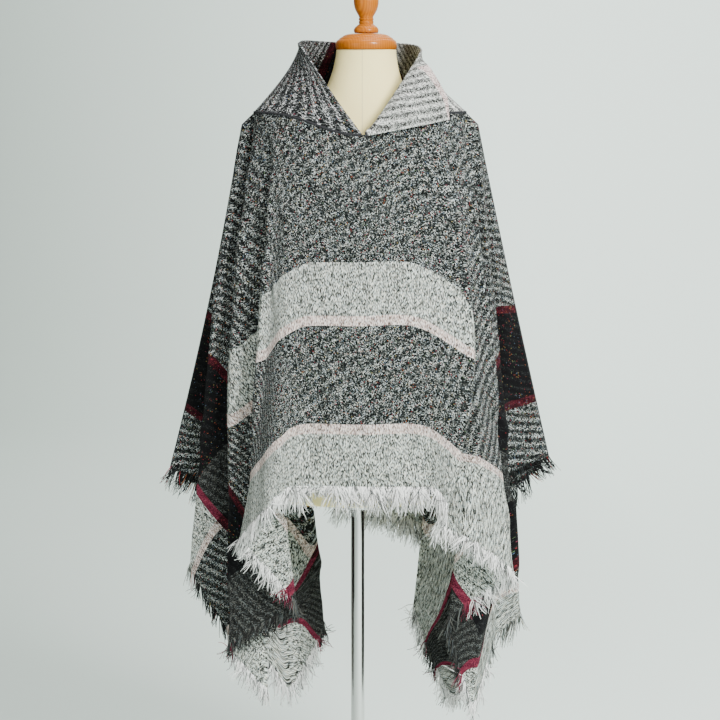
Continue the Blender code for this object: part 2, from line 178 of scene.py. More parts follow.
def yarns(tree, across, down, lean, rib):
    # Short slanting floats that turn at each rib, as in a zigzag twill, each with a random shade, and the upright
    # floats of the pale bands. Gives both shades, fleck, its tint and the relief.
    flat = tree.join(across, down)
    wander = tree.noise(flat, 110.0, 1.0, output=1)
    moved = tree.node("ShaderNodeVectorMath", {"operation": "MULTIPLY_ADD"},
                      {0: wander, 1: (weave["wander"], weave["wander"], 0.0), 2: flat})
    ribs = (abs(tree.split(moved, 0)) + tree.split(moved, 1) * lean) / rib
    zigzag = abs(ribs.part() - 0.5) * rib
    along = (tree.split(moved, 1) + zigzag) / weave["yarnWide"]
    aslant = (tree.split(moved, 1) - zigzag) / weave["yarnLong"] + along.floor() * 0.41
    # a term for the side keeps the two halves of the cut from mirroring each other
    cell = tree.join(along.floor(), aslant.floor(), (ribs * 2.0).floor() + (across > 0.0) * 977.0)
    shade = tree.random(cell)
    colours = tree.random(cell, output=1)
    fleck = tree.split(colours, 1) > weave["fleck"]
    tint = tree.split(colours, 2)
    relief = (along.part() * math.pi).sine() * (aslant.part() * math.pi).sine()
    column = (tree.split(moved, 0) / weave["uprightWide"]).floor()
    row = (tree.split(moved, 1) / weave["uprightLong"] + column * 0.37).floor()
    upright = tree.random(tree.join(column, row, 5.0))
    return shade, upright, fleck, tint, relief


def plaidColour(tree, across, down, shade, upright, fleck, tint, tucked=False):
    # The bands of the cut, crossed: each is a mask from 0 to 1
    side = abs(across)
    black = side.within(*plaid["black"])
    red = side.within(*plaid["redInner"]) + side.within(*plaid["redOuter"])
    upper = down.within(*plaid["lightUpper"])
    upperPink = down.within(*plaid["pinkUpper"])
    if tucked:
        # a tuck on the viewer's right takes the upper light band in
        tuckLine = (down - plaid["lightUpper"][0]) * plaid["tuckSlant"] + plaid["tuck"]
        shown = 1.0 - (across > tuckLine) * (across < plaid["tuckEnd"])
        upper, upperPink = upper * shown, upperPink * shown
    light = upper + (down > plaid["lightLower"][0])
    pink = upperPink + down.within(*plaid["pinkLower"])
    looks = {name: tree.ramp(upright if name in ("light", "pink") else shade, stops)
             for name, stops in yarnColour.items()}
    body = tree.mix(light, looks["tweed"], looks["light"])
    body = tree.mix(pink, body, looks["pink"])
    dark = tree.mix(light, looks["black"], looks["charcoal"])
    body = tree.mix(black, body, dark)
    strong = tree.mix(light, looks["red"], looks["rose"])
    body = tree.mix(red, body, strong)
    body = tree.mix(1.0, body, tree.ramp(tint, toneColour), "MULTIPLY")
    return tree.mix(fleck * (1.0 - light) * (1.0 - pink), body, tree.ramp(tint, fleckColour, "CONSTANT"))


def clothMaterial(name, tucked):
    tree = Tree(name, 0.95, sheen=0.02, gloss=0.12)
    flat = tree.uv()
    across, down = tree.split(flat, 0), tree.split(flat, 1)
    shade, upright, fleck, tint, relief = yarns(tree, across, down, weave["lean"], weave["rib"])
    rib = ((abs(across) + down * weave["lean"]) * (2 * math.pi / weave["rib"]) + tree.noise(flat, 22.0) * 3.0).sine()
    twill = ((down + across * weave["twillLean"]) * (2 * math.pi / weave["twill"]) + tree.noise(flat, 9.0) * 6.0).sine()
    cloud = (tree.noise(flat, 16.0, 3.0) - 0.5) * 0.06
    outer = ((abs(across) - weave["calm"]) * weave["ribRise"]).math("MINIMUM", 1.0).math("MAXIMUM", 0.0)
    # the ribs and twill are woven lines; the rib also raises the shade on its crests and lowers it in its grooves, in
    # step with its bump: painted shade in the grooves
    shade = shade + rib * (outer * 0.10 + 0.02) + twill * (1.0 - outer) * 0.05 + cloud
    upright = upright + rib * outer * 0.08 + cloud - 0.02
    colour = plaidColour(tree, across, down, shade, upright, fleck, tint, tucked)
    return tree.finish(colour, relief * 0.6 + rib * (outer * 0.4 + 0.1), weave["bump"], 0.75)


# What lays the cloth: the neckline is an ellipse over the shoulders, and front and back part at the sleeve line
neck = {"halfX": 0.186, "front": 0.110, "back": 0.100, "sideUp": 0.022, "frontUp": -0.016, "backUp": 0.004, "dip": 7,
        "cutDown": 0.12, "cutRound": 2.2}
sleeve = {"place": 0.260, "x": 0.219, "y": 0.004, "drop": 0.050, "closing": 0.36}
cloth = {"thick": 0.0024, "part": 0.00215, "rowsDown": 120, "columnWide": 0.0068, "leastColumns": 7,
         "calmTop": 7, "calmSides": 6}

# A fold line runs from the top edge to the fringe. Columns: name, place along the top edge, then x, y and drop below
# the shoulder half way down, the same at the fringe, roundness, and the flat points: share of the way, across, down.
frontLeft = (
    ("flank", 0.080, (-0.090, -0.150, 0.326), (-0.122, -0.155, 0.630), 1.0, ((0.5, 0.100, 0.438), (1, 0.130, 0.750))),
    ("swell", 0.125, (-0.138, -0.145, 0.345), (-0.160, -0.178, 0.662), 0.9, ((0.5, 0.165, 0.432), (1, 0.220, 0.750))),
    ("edge1", 0.148, (-0.166, -0.122, 0.395), (-0.212, -0.108, 0.730), 0.35, ((0.5, 0.279, 0.440), (1, 0.440, 0.750))),
    ("inner1", 0.158, (-0.150, -0.104, 0.425), (-0.115, -0.060, 0.855), 0.35, ((0.5, 0.330, 0.420), (1, 0.580, 0.750))),
    ("edge2", 0.182, (-0.223, -0.066, 0.482), (-0.239, -0.028, 0.935), 0.35,
     ((0.5, 0.435, 0.415), (0.66, 0.548, 0.534), (0.83, 0.652, 0.633), (1, 0.720, 0.750))),
    ("corner", 0.194, (-0.180, -0.044, 0.511), (-0.169, -0.006, 1.023), 0.35,
     ((0.5, 0.550, 0.360), (0.8, 0.755, 0.560), (1, 0.857, 0.750))),
    ("edge3", 0.226, (-0.263, -0.018, 0.408), (-0.310, 0.020, 0.803), 0.35,
     ((0.5, 0.548, 0.190), (0.8, 0.730, 0.350), (1, 0.857, 0.430))),
    ("inner3", 0.240, (-0.232, 0.002, 0.388), (-0.228, 0.038, 0.668), 0.35,
     ((0.5, 0.565, 0.100), (0.8, 0.730, 0.125), (1, 0.857, 0.140))),
    ("ridge", 0.255, (-0.272, 0.022, 0.322), (-0.346, 0.056, 0.624), 0.6, ((0.5, 0.536, 0.0), (1, 0.857, 0.0))),
)
frontRight = (
    ("flank", 0.080, (0.090, -0.150, 0.326), (0.128, -0.155, 0.632), 1.0, ((0.5, 0.100, 0.438), (1, 0.130, 0.750))),
    ("edge1", 0.132, (0.190, -0.134, 0.365), (0.153, -0.170, 0.663), 0.5, ((0.5, 0.210, 0.418), (1, 0.190, 0.750))),
    ("inner1", 0.142, (0.172, -0.112, 0.395), (0.140, -0.140, 0.700), 0.5,
     ((0.5, 0.260, 0.390), (0.79, 0.235, 0.655), (1, 0.225, 0.750))),
    ("swell", 0.158, (0.205, -0.104, 0.400), (0.200, -0.146, 0.728), 0.6,
     ((0.5, 0.320, 0.345), (0.78, 0.300, 0.655), (1, 0.300, 0.750))),
    ("edge2", 0.176, (0.229, -0.077, 0.430), (0.275, -0.058, 0.800), 0.35,
     ((0.5, 0.380, 0.340), (0.76, 0.380, 0.652), (1, 0.460, 0.750))),
    ("inner2", 0.184, (0.188, -0.056, 0.480), (0.160, -0.036, 0.885), 0.35,
     ((0.5, 0.470, 0.345), (0.87, 0.545, 0.655), (1, 0.600, 0.750))),
    ("corner", 0.196, (0.232, -0.036, 0.520), (0.206, -0.010, 1.052), 0.35,
     ((0.5, 0.600, 0.330), (0.85, 0.690, 0.630), (1, 0.800, 0.750))),
    ("inner4", 0.211, (0.243, -0.022, 0.482), (0.247, 0.019, 0.928), 0.35,
     ((0.5, 0.588, 0.270), (0.8, 0.690, 0.520), (1, 0.835, 0.735))),
    ("edge3", 0.226, (0.253, -0.012, 0.440), (0.293, 0.022, 0.893), 0.35,
     ((0.5, 0.575, 0.210), (0.73, 0.670, 0.400), (0.9, 0.745, 0.600), (1, 0.857, 0.700))),
    ("inner3", 0.240, (0.246, 0.006, 0.380), (0.242, 0.040, 0.650), 0.35,
     ((0.5, 0.600, 0.100), (0.73, 0.730, 0.120), (1, 0.857, 0.140))),
    ("ridge", 0.255, (0.276, 0.022, 0.312), (0.344, 0.056, 0.604), 0.6, ((0.5, 0.536, 0.0), (1, 0.857, 0.0))),
)
frontMiddle = ("middle", 0.0, (0.0, -0.158, 0.326), (0.0, -0.160, 0.630), 1.0, ((0.5, 0.0, 0.438), (1, 0.0, 0.750)))
backMiddle = ("middle", 0.0, (0.0, 0.142, 0.350), (0.0, 0.150, 0.706), 1.0, ((0.5, 0.0, 0.430), (1, 0.0, 0.780)))
backLeft = (
    ("flank", 0.080, (-0.086, 0.140, 0.350), (-0.112, 0.150, 0.700), 1.0, ((0.5, 0.098, 0.430), (1, 0.120, 0.780))),
    ("swell", 0.130, (-0.150, 0.150, 0.380), (-0.170, 0.176, 0.740), 0.8, ((0.5, 0.180, 0.430), (1, 0.250, 0.780))),
    ("edge1", 0.158, (-0.200, 0.140, 0.425), (-0.222, 0.158, 0.800), 0.35, ((0.5, 0.270, 0.430), (1, 0.420, 0.780))),
    ("inner1", 0.172, (-0.110, 0.128, 0.470), (-0.070, 0.136, 0.930), 0.35,
     ((0.5, 0.360, 0.400), (0.75, 0.500, 0.585), (0.835, 0.550, 0.638), (1, 0.690, 0.780))),
    ("corner", 0.194, (-0.196, 0.106, 0.530), (-0.136, 0.116, 1.050), 0.35,
     ((0.5, 0.420, 0.480), (0.75, 0.505, 0.700), (0.86, 0.556, 0.735), (0.885, 0.735, 0.680), (1, 0.857, 0.780))),
    ("edge3", 0.222, (-0.240, 0.084, 0.430), (-0.286, 0.096, 0.800), 0.35, ((0.5, 0.548, 0.220), (1, 0.857, 0.400))),
    ("inner3", 0.238, (-0.220, 0.062, 0.370), (-0.226, 0.076, 0.720), 0.35, ((0.5, 0.550, 0.120), (1, 0.857, 0.200))),
    frontLeft[-1],
)
backRight = (
    ("flank", 0.080, (0.088, 0.140, 0.355), (0.102, 0.152, 0.742), 1.0, ((0.5, 0.098, 0.430), (1, 0.120, 0.780))),
    ("swell", 0.130, (0.150, 0.146, 0.385), (0.165, 0.172, 0.800), 0.8, ((0.5, 0.180, 0.430), (1, 0.250, 0.780))),
    ("edge1", 0.158, (0.205, 0.136, 0.430), (0.236, 0.156, 0.850), 0.35, ((0.5, 0.280, 0.430), (1, 0.440, 0.780))),
    ("inner1", 0.172, (0.140, 0.122, 0.470), (0.102, 0.132, 0.896), 0.35,
     ((0.5, 0.300, 0.420), (0.81, 0.370, 0.645), (1, 0.400, 0.780))),
    ("corner", 0.194, (0.200, 0.102, 0.530), (0.176, 0.112, 1.066), 0.35,
     ((0.5, 0.460, 0.460), (0.75, 0.560, 0.690), (0.9, 0.660, 0.745), (1, 0.857, 0.780))),
    ("edge3", 0.222, (0.245, 0.082, 0.430), (0.270, 0.094, 0.860), 0.35, ((0.5, 0.548, 0.220), (1, 0.857, 0.450))),
    ("inner3", 0.238, (0.224, 0.062, 0.370), (0.226, 0.076, 0.740), 0.35, ((0.5, 0.550, 0.120), (1, 0.857, 0.200))),
    frontRight[-1],
)


def through(t, top, middle, end):
    # a parabola through three values, at the top, half way and at the end
    return top * (2 * t * t - 3 * t + 1) + middle * (4 * t - 4 * t * t) + end * (2 * t * t - t)


def easeBetween(one, other, leaving, arriving, s):
    # from one to the other as s goes from 0 to 1, with the slopes given at each
    return (one * (2 * s ** 3 - 3 * s * s + 1) + leaving * (s ** 3 - 2 * s * s + s)
            + other * (3 * s * s - 2 * s ** 3) + arriving * (s ** 3 - s * s))


def neckline(angle):
    across, along = math.cos(math.radians(angle)), math.sin(math.radians(angle))
    depth, up = (neck["back"], neck["backUp"]) if along > 0 else (neck["front"], neck["frontUp"])
    return Vector((neck["halfX"] * across, depth * along,
                   shoulderZ + neck["sideUp"] + (up - neck["sideUp"]) * abs(along) ** neck["dip"]))


def topEdge(place, side, facing):
    # on the neckline first, then over the shoulder and down the sleeve
    if place < neck["halfX"]:
        point = neckline(facing * math.degrees(math.acos(side * place / neck["halfX"])))
        return point + Vector((0, facing * cloth["part"], 0))
    stops = ((neck["halfX"], Vector((neck["halfX"], 0, shoulderZ + neck["sideUp"]))),
             (shoulderX, Vector((shoulderX, shoulderY, shoulderZ))),
             (sleeve["place"], Vector((sleeve["x"], sleeve["y"], shoulderZ - sleeve["drop"]))))
    for (start, one), (stop, other) in zip(stops, stops[1:]):
        if place <= stop:
            point = one.lerp(other, (place - start) / (stop - start))
            break
    return Vector((side * point.x, point.y + facing * cloth["part"], point.z))


def foldPoint(row, t, side, facing):
    name, place, half, end = row[:4]
    top, shift = topEdge(place, side, facing), facing * cloth["part"]
    if name == "ridge":
        shift *= 1 - sleeve["closing"] * min(1, t * 3)  # front and back close up along the sleeve
    return Vector((through(t, top.x, half[0], end[0]),
                   through(t, top.y, half[1] + shift, end[1] + shift),
                   shoulderZ - through(t, shoulderZ - top.z, half[2], end[2])))


def flatPoint(row, t, side):
    # a smooth run through the flat points of the fold line, starting on the neckline's cut
    place = row[1]
    neckDown = neck["cutDown"] * max(0.0, 1 - (place / neck["halfX"]) ** neck["cutRound"])
    stops = [(0.0, place, neckDown), *row[5]]
    slopes = []
    for i in range(len(stops)):
        before, after = stops[max(i - 1, 0)], stops[min(i + 1, len(stops) - 1)]
        slopes.append([(after[k] - before[k]) / (after[0] - before[0]) for k in (1, 2)])
    for i in range(len(stops) - 1):
        if t <= stops[i + 1][0] or i == len(stops) - 2:
            span = stops[i + 1][0] - stops[i][0]
            found = [easeBetween(stops[i][k + 1], stops[i + 1][k + 1], slopes[i][k] * span, slopes[i + 1][k] * span,
                                 (t - stops[i][0]) / span) for k in (0, 1)]
            return Vector((side * found[0], found[1]))


def curveThrough(points, softness, counts):
    # the smooth section through the fold lines; a low softness turns it round its point, in depth first
    last = len(points) - 1
    slopes = []
    for i, point in enumerate(points):
        before, after = points[max(i - 1, 0)], points[min(i + 1, last)]
        reach = min((point - before).length or 1e9, (after - point).length or 1e9)
        turn = after - before
        turn.y /= softness[i]
        slopes.append(turn.normalized() * reach * softness[i])
    found = []
    for i in range(last):
        for k in range(counts[i] + (i == last - 1)):
            found.append(easeBetween(points[i], points[i + 1], slopes[i], slopes[i + 1], k / counts[i]))
    return found


def flatAlong(section, flats, counts):
    # the flat points under a section, spaced as its lengths are and smooth across the folds
    lengths, start = [], 0
    for count in counts:
        stretch = section[start:start + count + 1]
        lengths.append([(b - a).length for a, b in zip(stretch, stretch[1:])])
        start += count
    whole = [sum(each) or 1e-9 for each in lengths]
    rises = [(b - a) / long for a, b, long in zip(flats, flats[1:], whole)]
    slopes = [rises[0]]
    for one, other, a, b in zip(rises, rises[1:], whole, whole[1:]):
        w1, w2 = 2 * b + a, b + 2 * a
        slopes.append(Vector([(w1 + w2) / (w1 / p + w2 / q) if p * q > 0 else 0.0 for p, q in zip(one, other)]))
    slopes.append(rises[-1])
    found = []
    for i, each in enumerate(lengths):
        gone = 0.0
        for step in each:
            found.append(easeBetween(flats[i], flats[i + 1], slopes[i] * whole[i], slopes[i + 1] * whole[i],
                                     gone / whole[i]))
            gone += step
    return found + [flats[-1]]


def layGrid(name, points, flats, material, turned):
    # a grid laid on rows of points, with the cut's own measures as its UV map
    rows, columns = len(points), len(points[0])
    shape = bmesh.new()
    bmesh.ops.create_grid(shape, x_segments=columns - 1, y_segments=rows - 1, size=0.5)
    layer = shape.loops.layers.uv.new("flat")
    places = {}
    for vert in shape.verts:
        i = round((vert.co.x + 0.5) * (columns - 1))
        j = round((0.5 - vert.co.y) * (rows - 1))
        places[vert] = flats[j][i]
        vert.co = points[j][i]
    for face in shape.faces:
        face.smooth = True
        for loop in face.loops:
            loop[layer].uv = places[loop.vert]
    if turned:
        bmesh.ops.reverse_faces(shape, faces=shape.faces)
    return keepPiece(name, shape, material)


def addObject(name, data):
    made = bpy.data.objects.new(name, data)
    bpy.context.scene.collection.objects.link(made)
    return made


def meshObject(name, shape, material):
    mesh = bpy.data.meshes.new(name)
    shape.to_mesh(mesh)
    shape.free()
    mesh.shade_smooth()
    mesh.materials.append(material)
    return addObject(name, mesh)


def keepPiece(name, shape, material):
    made = meshObject(name, shape, material)
    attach(made, "root")
    return made


def thicken(piece, thick):
    wall = piece.modifiers.new("wall", "SOLIDIFY")
    wall.thickness = thick
    wall.offset = 0.0
    wall.use_even_offset = False
    return piece


def gridNormals(points):
    grid = np.array([[tuple(p) for p in row] for row in points])
    along, down = np.gradient(grid, axis=1), np.gradient(grid, axis=0)
    normals = np.cross(along, down)
    return grid, normals / np.maximum(np.linalg.norm(normals, axis=2, keepdims=True), 1e-12)


# Soft creases on the cut: ends as (across, down), width and depth in metres. A minus stands out between its ends and
# dips at them, and a plus does the opposite.
creaseShape = {"reach": 0.3, "rise": 0.6, "fall": 0.5, "top": 1.7, "gain": 1.5}
creases = {
    "front": (
        ((-0.19, 0.10), (-0.12, 0.30), 0.012, -0.0030), ((-0.24, 0.13), (-0.20, 0.34), 0.010, 0.0030),
        ((0.18, 0.10), (0.13, 0.32), 0.013, -0.0032), ((0.25, 0.12), (0.24, 0.40), 0.011, 0.0028),
        ((-0.05, 0.14), (-0.14, 0.42), 0.020, 0.0018), ((0.06, 0.15), (0.10, 0.36), 0.022, 0.0016),
        ((-0.07, 0.50), (-0.10, 0.75), 0.018, 0.0035), ((0.02, 0.58), (0.00, 0.75), 0.016, -0.0028),
        ((0.08, 0.55), (0.10, 0.75), 0.015, 0.0032), ((-0.16, 0.52), (-0.19, 0.75), 0.014, -0.0036),
        ((0.26, 0.40), (0.25, 0.75), 0.015, -0.0040), ((0.36, 0.35), (0.40, 0.70), 0.014, 0.0030),
        ((-0.34, 0.35), (-0.50, 0.72), 0.013, 0.0030), ((-0.62, 0.40), (-0.70, 0.70), 0.015, -0.0035),
        ((0.66, 0.35), (0.76, 0.68), 0.015, -0.0035), ((-0.45, 0.05), (-0.72, 0.10), 0.014, 0.0025),
        ((0.44, 0.05), (0.74, 0.09), 0.014, 0.0025), ((-0.50, 0.24), (-0.80, 0.33), 0.014, -0.0028),
        ((0.50, 0.25), (0.80, 0.36), 0.014, -0.0028),
    ),
    "back": (
        ((-0.15, 0.08), (-0.10, 0.40), 0.016, -0.0030), ((0.14, 0.08), (0.12, 0.38), 0.015, -0.0030),
        ((0.02, 0.10), (-0.02, 0.45), 0.022, 0.0022), ((-0.06, 0.50), (-0.08, 0.78), 0.017, 0.0036),
        ((0.05, 0.55), (0.06, 0.78), 0.016, -0.0030), ((0.16, 0.45), (0.20, 0.78), 0.015, 0.0036),
        ((-0.20, 0.42), (-0.28, 0.78), 0.015, -0.0036), ((0.34, 0.40), (0.48, 0.74), 0.015, 0.0030),
        ((-0.46, 0.40), (-0.62, 0.74), 0.014, 0.0030), ((0.68, 0.40), (0.76, 0.70), 0.014, -0.0030),
        ((-0.52, 0.22), (-0.80, 0.32), 0.014, 0.0026), ((0.52, 0.24), (0.80, 0.34), 0.014, 0.0026),
    ),
}


# Extra relief along a fold line: depth, half width, the shares of its length where it fades in and out, and how far it
# drifts from the line over that length
pressFade = {"in": 0.18, "out": 0.24}
pressed = {
    "front": {
        (-1, "corner"): (-0.022, 0.009, 0.02, 0.60, -0.082), (-1, "inner1"): (-0.018, 0.008, 0.05, 0.60, 0.0),
        (-1, "edge2"): (0.013, 0.013, 0.03, 0.60, 0.0), (-1, "edge1"): (0.015, 0.010, 0.03, 0.70, 0.0),
        (-1, "inner3"): (-0.015, 0.009, 0.06, 0.75, -0.030), (-1, "edge3"): (0.009, 0.012, 0.06, 0.60, 0.0),
        (1, "inner1"): (-0.016, 0.009, 0.06, 0.95, 0.0), (1, "edge1"): (0.010, 0.010, 0.06, 0.70, 0.0),
        (1, "corner"): (-0.014, 0.009, 0.03, 0.60, 0.0), (1, "inner3"): (-0.012, 0.010, 0.08, 0.75, 0.0),
        (1, "inner2"): (-0.014, 0.009, 0.03, 0.65, 0.0), (1, "edge2"): (0.010, 0.010, 0.04, 0.65, 0.0),
    },
    "back": {
        (-1, "inner1"): (-0.008, 0.012, 0.05, 0.60, 0.0), (1, "inner1"): (-0.008, 0.012, 0.05, 0.60, 0.0),
        (-1, "inner3"): (-0.006, 0.012, 0.10, 0.70, 0.0), (1, "inner3"): (-0.006, 0.012, 0.10, 0.70, 0.0),
        (-1, "swell"): (0.005, 0.016, 0.10, 0.90, 0.0), (1, "swell"): (0.005, 0.016, 0.10, 0.90, 0.0),
    },
}


def pressHeight(away, t, press):
    deep, wide, start, stop, drift = press
    fadeIn = min(1.0, max(0.0, (t - start) / pressFade["in"]))
    fade = fadeIn * min(1.0, max(0.0, (stop + pressFade["out"] / 2 - t) / pressFade["out"]))
    return deep * math.exp(-((away - drift * t) / wide) ** 2) * fade


def creaseHeight(flat, lines):
    # how far the cloth stands out at a flat point
    x, y = flat
    out = 0.0
    for (x1, y1), (x2, y2), wide, deep in lines:
        dx, dy = x2 - x1, y2 - y1
        long2 = dx * dx + dy * dy
        s = ((x - x1) * dx + (y - y1) * dy) / long2
        off = abs((x - x1) * dy - (y - y1) * dx) / math.sqrt(long2)
        reach = creaseShape["reach"]
        if -reach < s < 1 + reach and off < 3 * wide:
            rising = max(0.0, min(1.0, (s + reach) / creaseShape["rise"]))
            falling = max(0.0, min(1.0, (1 + reach - s) / creaseShape["fall"]))
            ends = creaseShape["top"] * rising * falling
            out += creaseShape["gain"] * deep * math.exp(-(off / wide) ** 2) * ends * ends * (3 - 2 * ends)
    waves = noise.noise(Vector((x * 17, y * 5, 3.7))) * 0.0022 + noise.noise(Vector((x * 42, y * 12, 9.1))) * 0.0008
    return out + waves


def clothPiece(name, left, middle, right, facing, material):
    lines = [(row, -1) for row in reversed(left)] + [(middle, 1)] + [(row, 1) for row in right]
    softness = [row[4] for row, _ in lines]
    hem = [foldPoint(row, 1, side, facing) for row, side in lines]
    counts = [max(cloth["leastColumns"], round((b - a).length / cloth["columnWide"])) for a, b in zip(hem, hem[1:])]
    points = []
    for j in range(cloth["rowsDown"] + 1):
        onFolds = [foldPoint(row, j / cloth["rowsDown"], side, facing) for row, side in lines]
        points.append(curveThrough(onFolds, softness, counts))
    # the first row keeps to the exact edge, and the move fades out below it
    moves = []
    for i, count in enumerate(counts):
        for k in range(count + (i == len(counts) - 1)):
            place = lines[i][1] * lines[i][0][1] * (1 - k / count) + lines[i + 1][1] * lines[i + 1][0][1] * k / count
            side = 1 if place >= 0 else -1
            moves.append(topEdge(abs(place), side, facing) - points[0][len(moves)])
    for j, row in enumerate(points):
        fade = (1 - j / cloth["rowsDown"]) ** 2
        points[j] = [point + move * fade for point, move in zip(row, moves)]
    grid, normals = gridNormals(points)
    stations = [sum(counts[:i]) for i in range(len(lines))]
    presses = [(stations[i], pressed[name][side, row[0]]) for i, (row, side) in enumerate(lines)
               if (side, row[0]) in pressed[name] and 0 < i < len(lines) - 1]
    flats = []
    for j, row in enumerate(points):
        t = j / cloth["rowsDown"]
        steps = np.linalg.norm(np.diff(grid[j], axis=0), axis=1)
        gone = np.concatenate([[0.0], np.cumsum(steps)])
        for i in range(len(row)):
            press = sum(pressHeight(gone[i] - gone[station], t, each) for station, each in presses)
            grid[j, i] += normals[j, i] * press * facing
        flats.append(flatAlong([Vector(p) for p in grid[j]], [flatPoint(row, t, side) for row, side in lines], counts))
        for i, flat in enumerate(flats[j]):
            calm = min(1.0, t * cloth["calmTop"]) * min(1.0, min(i, len(row) - 1 - i) / cloth["calmSides"])
            grid[j, i] += normals[j, i] * creaseHeight(flat, creases[name]) * calm * facing
    points = [[Vector(p) for p in row] for row in grid.tolist()]
    piece = thicken(layGrid(name + "Cloth", points, flats, material, facing > 0), cloth["thick"])
    return piece, points, flats


tuckedTweed, tweed = clothMaterial("tuckedTweed", True), clothMaterial("tweedCloth", False)
frontCloth, frontPoints, frontFlats = clothPiece("front", frontLeft, frontMiddle, frontRight, -1, tuckedTweed)
backCloth, backPoints, backFlats = clothPiece("back", backLeft, backMiddle, backRight, 1, tweed)
for piece, node in ((frontCloth, "front"), (backCloth, "back")):
    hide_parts(node)
print("front and back laid on their folds")


# Round from the upright left front edge: place on the neckline in degrees, x, y and height of the top edge, the bulge
# half way up, and roundness
collar = {
    "thick": 0.0026, "rows": 44, "rib": 0.0138, "columnWide": 0.005, "leastColumns": 8,
    "seamUpFront": 0.0014, "seamUpSide": 0.0026, "spread": 0.132, "wave": 0.0020,
    # where the bands lie along the strip, from the back's two lines and the turned-out corner
    "redFrom": 0.042, "redWide": 0.018, "blackShort": 0.062, "redAfter": 0.016, "pinkFrom": 0.01, "pinkUp": 0.150,
}
collarRows = (
    ("leftEdge", -89, (-0.104, -0.052, 0.138), 0.004, 1.0), ("leftFront", -122, (-0.108, -0.028, 0.144), -0.004, 1.0),
    ("left", -165, (-0.102, 0.008, 0.149), -0.008, 1.0), ("leftBack", -208, (-0.078, 0.066, 0.150), -0.006, 1.0),
    ("backLeft", -248, (-0.030, 0.092, 0.148), 0.0, 1.0), ("backRight", -292, (0.032, 0.092, 0.147), 0.0, 1.0),
    ("rightBack", -332, (0.078, 0.066, 0.146), -0.006, 1.0), ("right", -375, (0.103, 0.012, 0.140), -0.014, 1.0),
    ("rightFront", -414, (0.108, -0.026, 0.132), -0.004, 1.0), ("turn", -446, (0.103, -0.062, 0.122), 0.002, 0.5),
)
# The turned-out corner: root, outer edge, bulge, roundness
turnedRows = (
    ("turnedTop", (0.010, -0.121, -0.011), (0.124, -0.082, 0.098), 0.006, 0.7),
    ("turnedCorner", (0.011, -0.1245, -0.014), (0.152, -0.088, 0.050), 0.006, 0.6),
    ("turnedHem", (0.012, -0.1275, -0.0175), (0.156, -0.087, 0.010), 0.004, 1.0),
)


def collarRoot(angle):
    along = math.sin(math.radians(angle))
    up = collar["seamUpSide"] + (collar["seamUpFront"] - collar["seamUpSide"]) * abs(along)
    return neckline(angle) + Vector((0, cloth["part"] * along, up))


def bulged(root, top, t, bulge):
    outward = Vector((root.x + top.x, root.y + top.y, 0)).normalized()
    return root.lerp(top, t) + outward * bulge * math.sin(math.pi * t)


def collarPiece():
    softness = [row[4] for row in collarRows + turnedRows]
    roots = [collarRoot(row[1]) for row in collarRows]
    tops = [Vector(row[2]) + Vector((0, 0, shoulderZ)) for row in collarRows]
    roots += [Vector(row[1]) + Vector((0, 0, shoulderZ)) for row in turnedRows]
    tops += [Vector(row[2]) + Vector((0, 0, shoulderZ)) for row in turnedRows]
    bulges = [row[3] for row in collarRows + turnedRows]
    middles = [bulged(root, top, 0.5, bulge) for root, top, bulge in zip(roots, tops, bulges)]
    counts = [max(collar["leastColumns"], round((b - a).length / collar["columnWide"]))
              for a, b in zip(middles, middles[1:])]
    gone = [0.0]
    for a, b in zip(middles, middles[1:]):
        gone.append(gone[-1] + (b - a).length)
    # on the turned-out corner the ribs run with its lower edge, so their place follows the outer edge
    first = len(collarRows) - 1
    for i in range(first, len(gone) - 1):
        gone[i + 1] = gone[i] + (tops[i + 1] - tops[i]).length
    points, flats = [], []
    for j in range(collar["rows"] + 1):
        t = 1 - j / collar["rows"]
        section = curveThrough([bulged(*each[:2], t, each[2]) for each in zip(roots, tops, bulges)], softness, counts)
        tall = [(top - root).length * t for root, top in zip(roots, tops)]
        ribbed = gone[:first] + [a + (collar["spread"] - a + gone[first]) * (1 - t) for a in gone[first:]]
        points.append(section)
        flats.append(flatAlong(section, [Vector((a, b)) for a, b in zip(ribbed, tall)], counts))
    moves = []
    for i, count in enumerate(counts[:len(collarRows) - 1]):
        for k in range(count + (i == len(collarRows) - 2)):
            angle = collarRows[i][1] + (collarRows[i + 1][1] - collarRows[i][1]) * k / count
            moves.append(collarRoot(angle) - points[-1][len(moves)])
    for j, row in enumerate(points):
        fade = (j / collar["rows"]) ** 2
        points[j] = [point + (moves[i] * fade if i < len(moves) else Vector()) for i, point in enumerate(row)]
    grid, normals = gridNormals(points)
    for j, row in enumerate(flats):
        t = 1 - j / collar["rows"]
        for i, flat in enumerate(row):
            wave = noise.noise(Vector((flat.x * 22, flat.y * 9, 1.3))) * collar["wave"]
            grid[j, i] += normals[j, i] * wave * min(1.0, t * 4)
    points = [[Vector(p) for p in row] for row in grid.tolist()]
    piece = thicken(layGrid("collarCloth", points, flats, collarMaterial("collarCloth", gone), True), collar["thick"])
    return piece, points[-1]


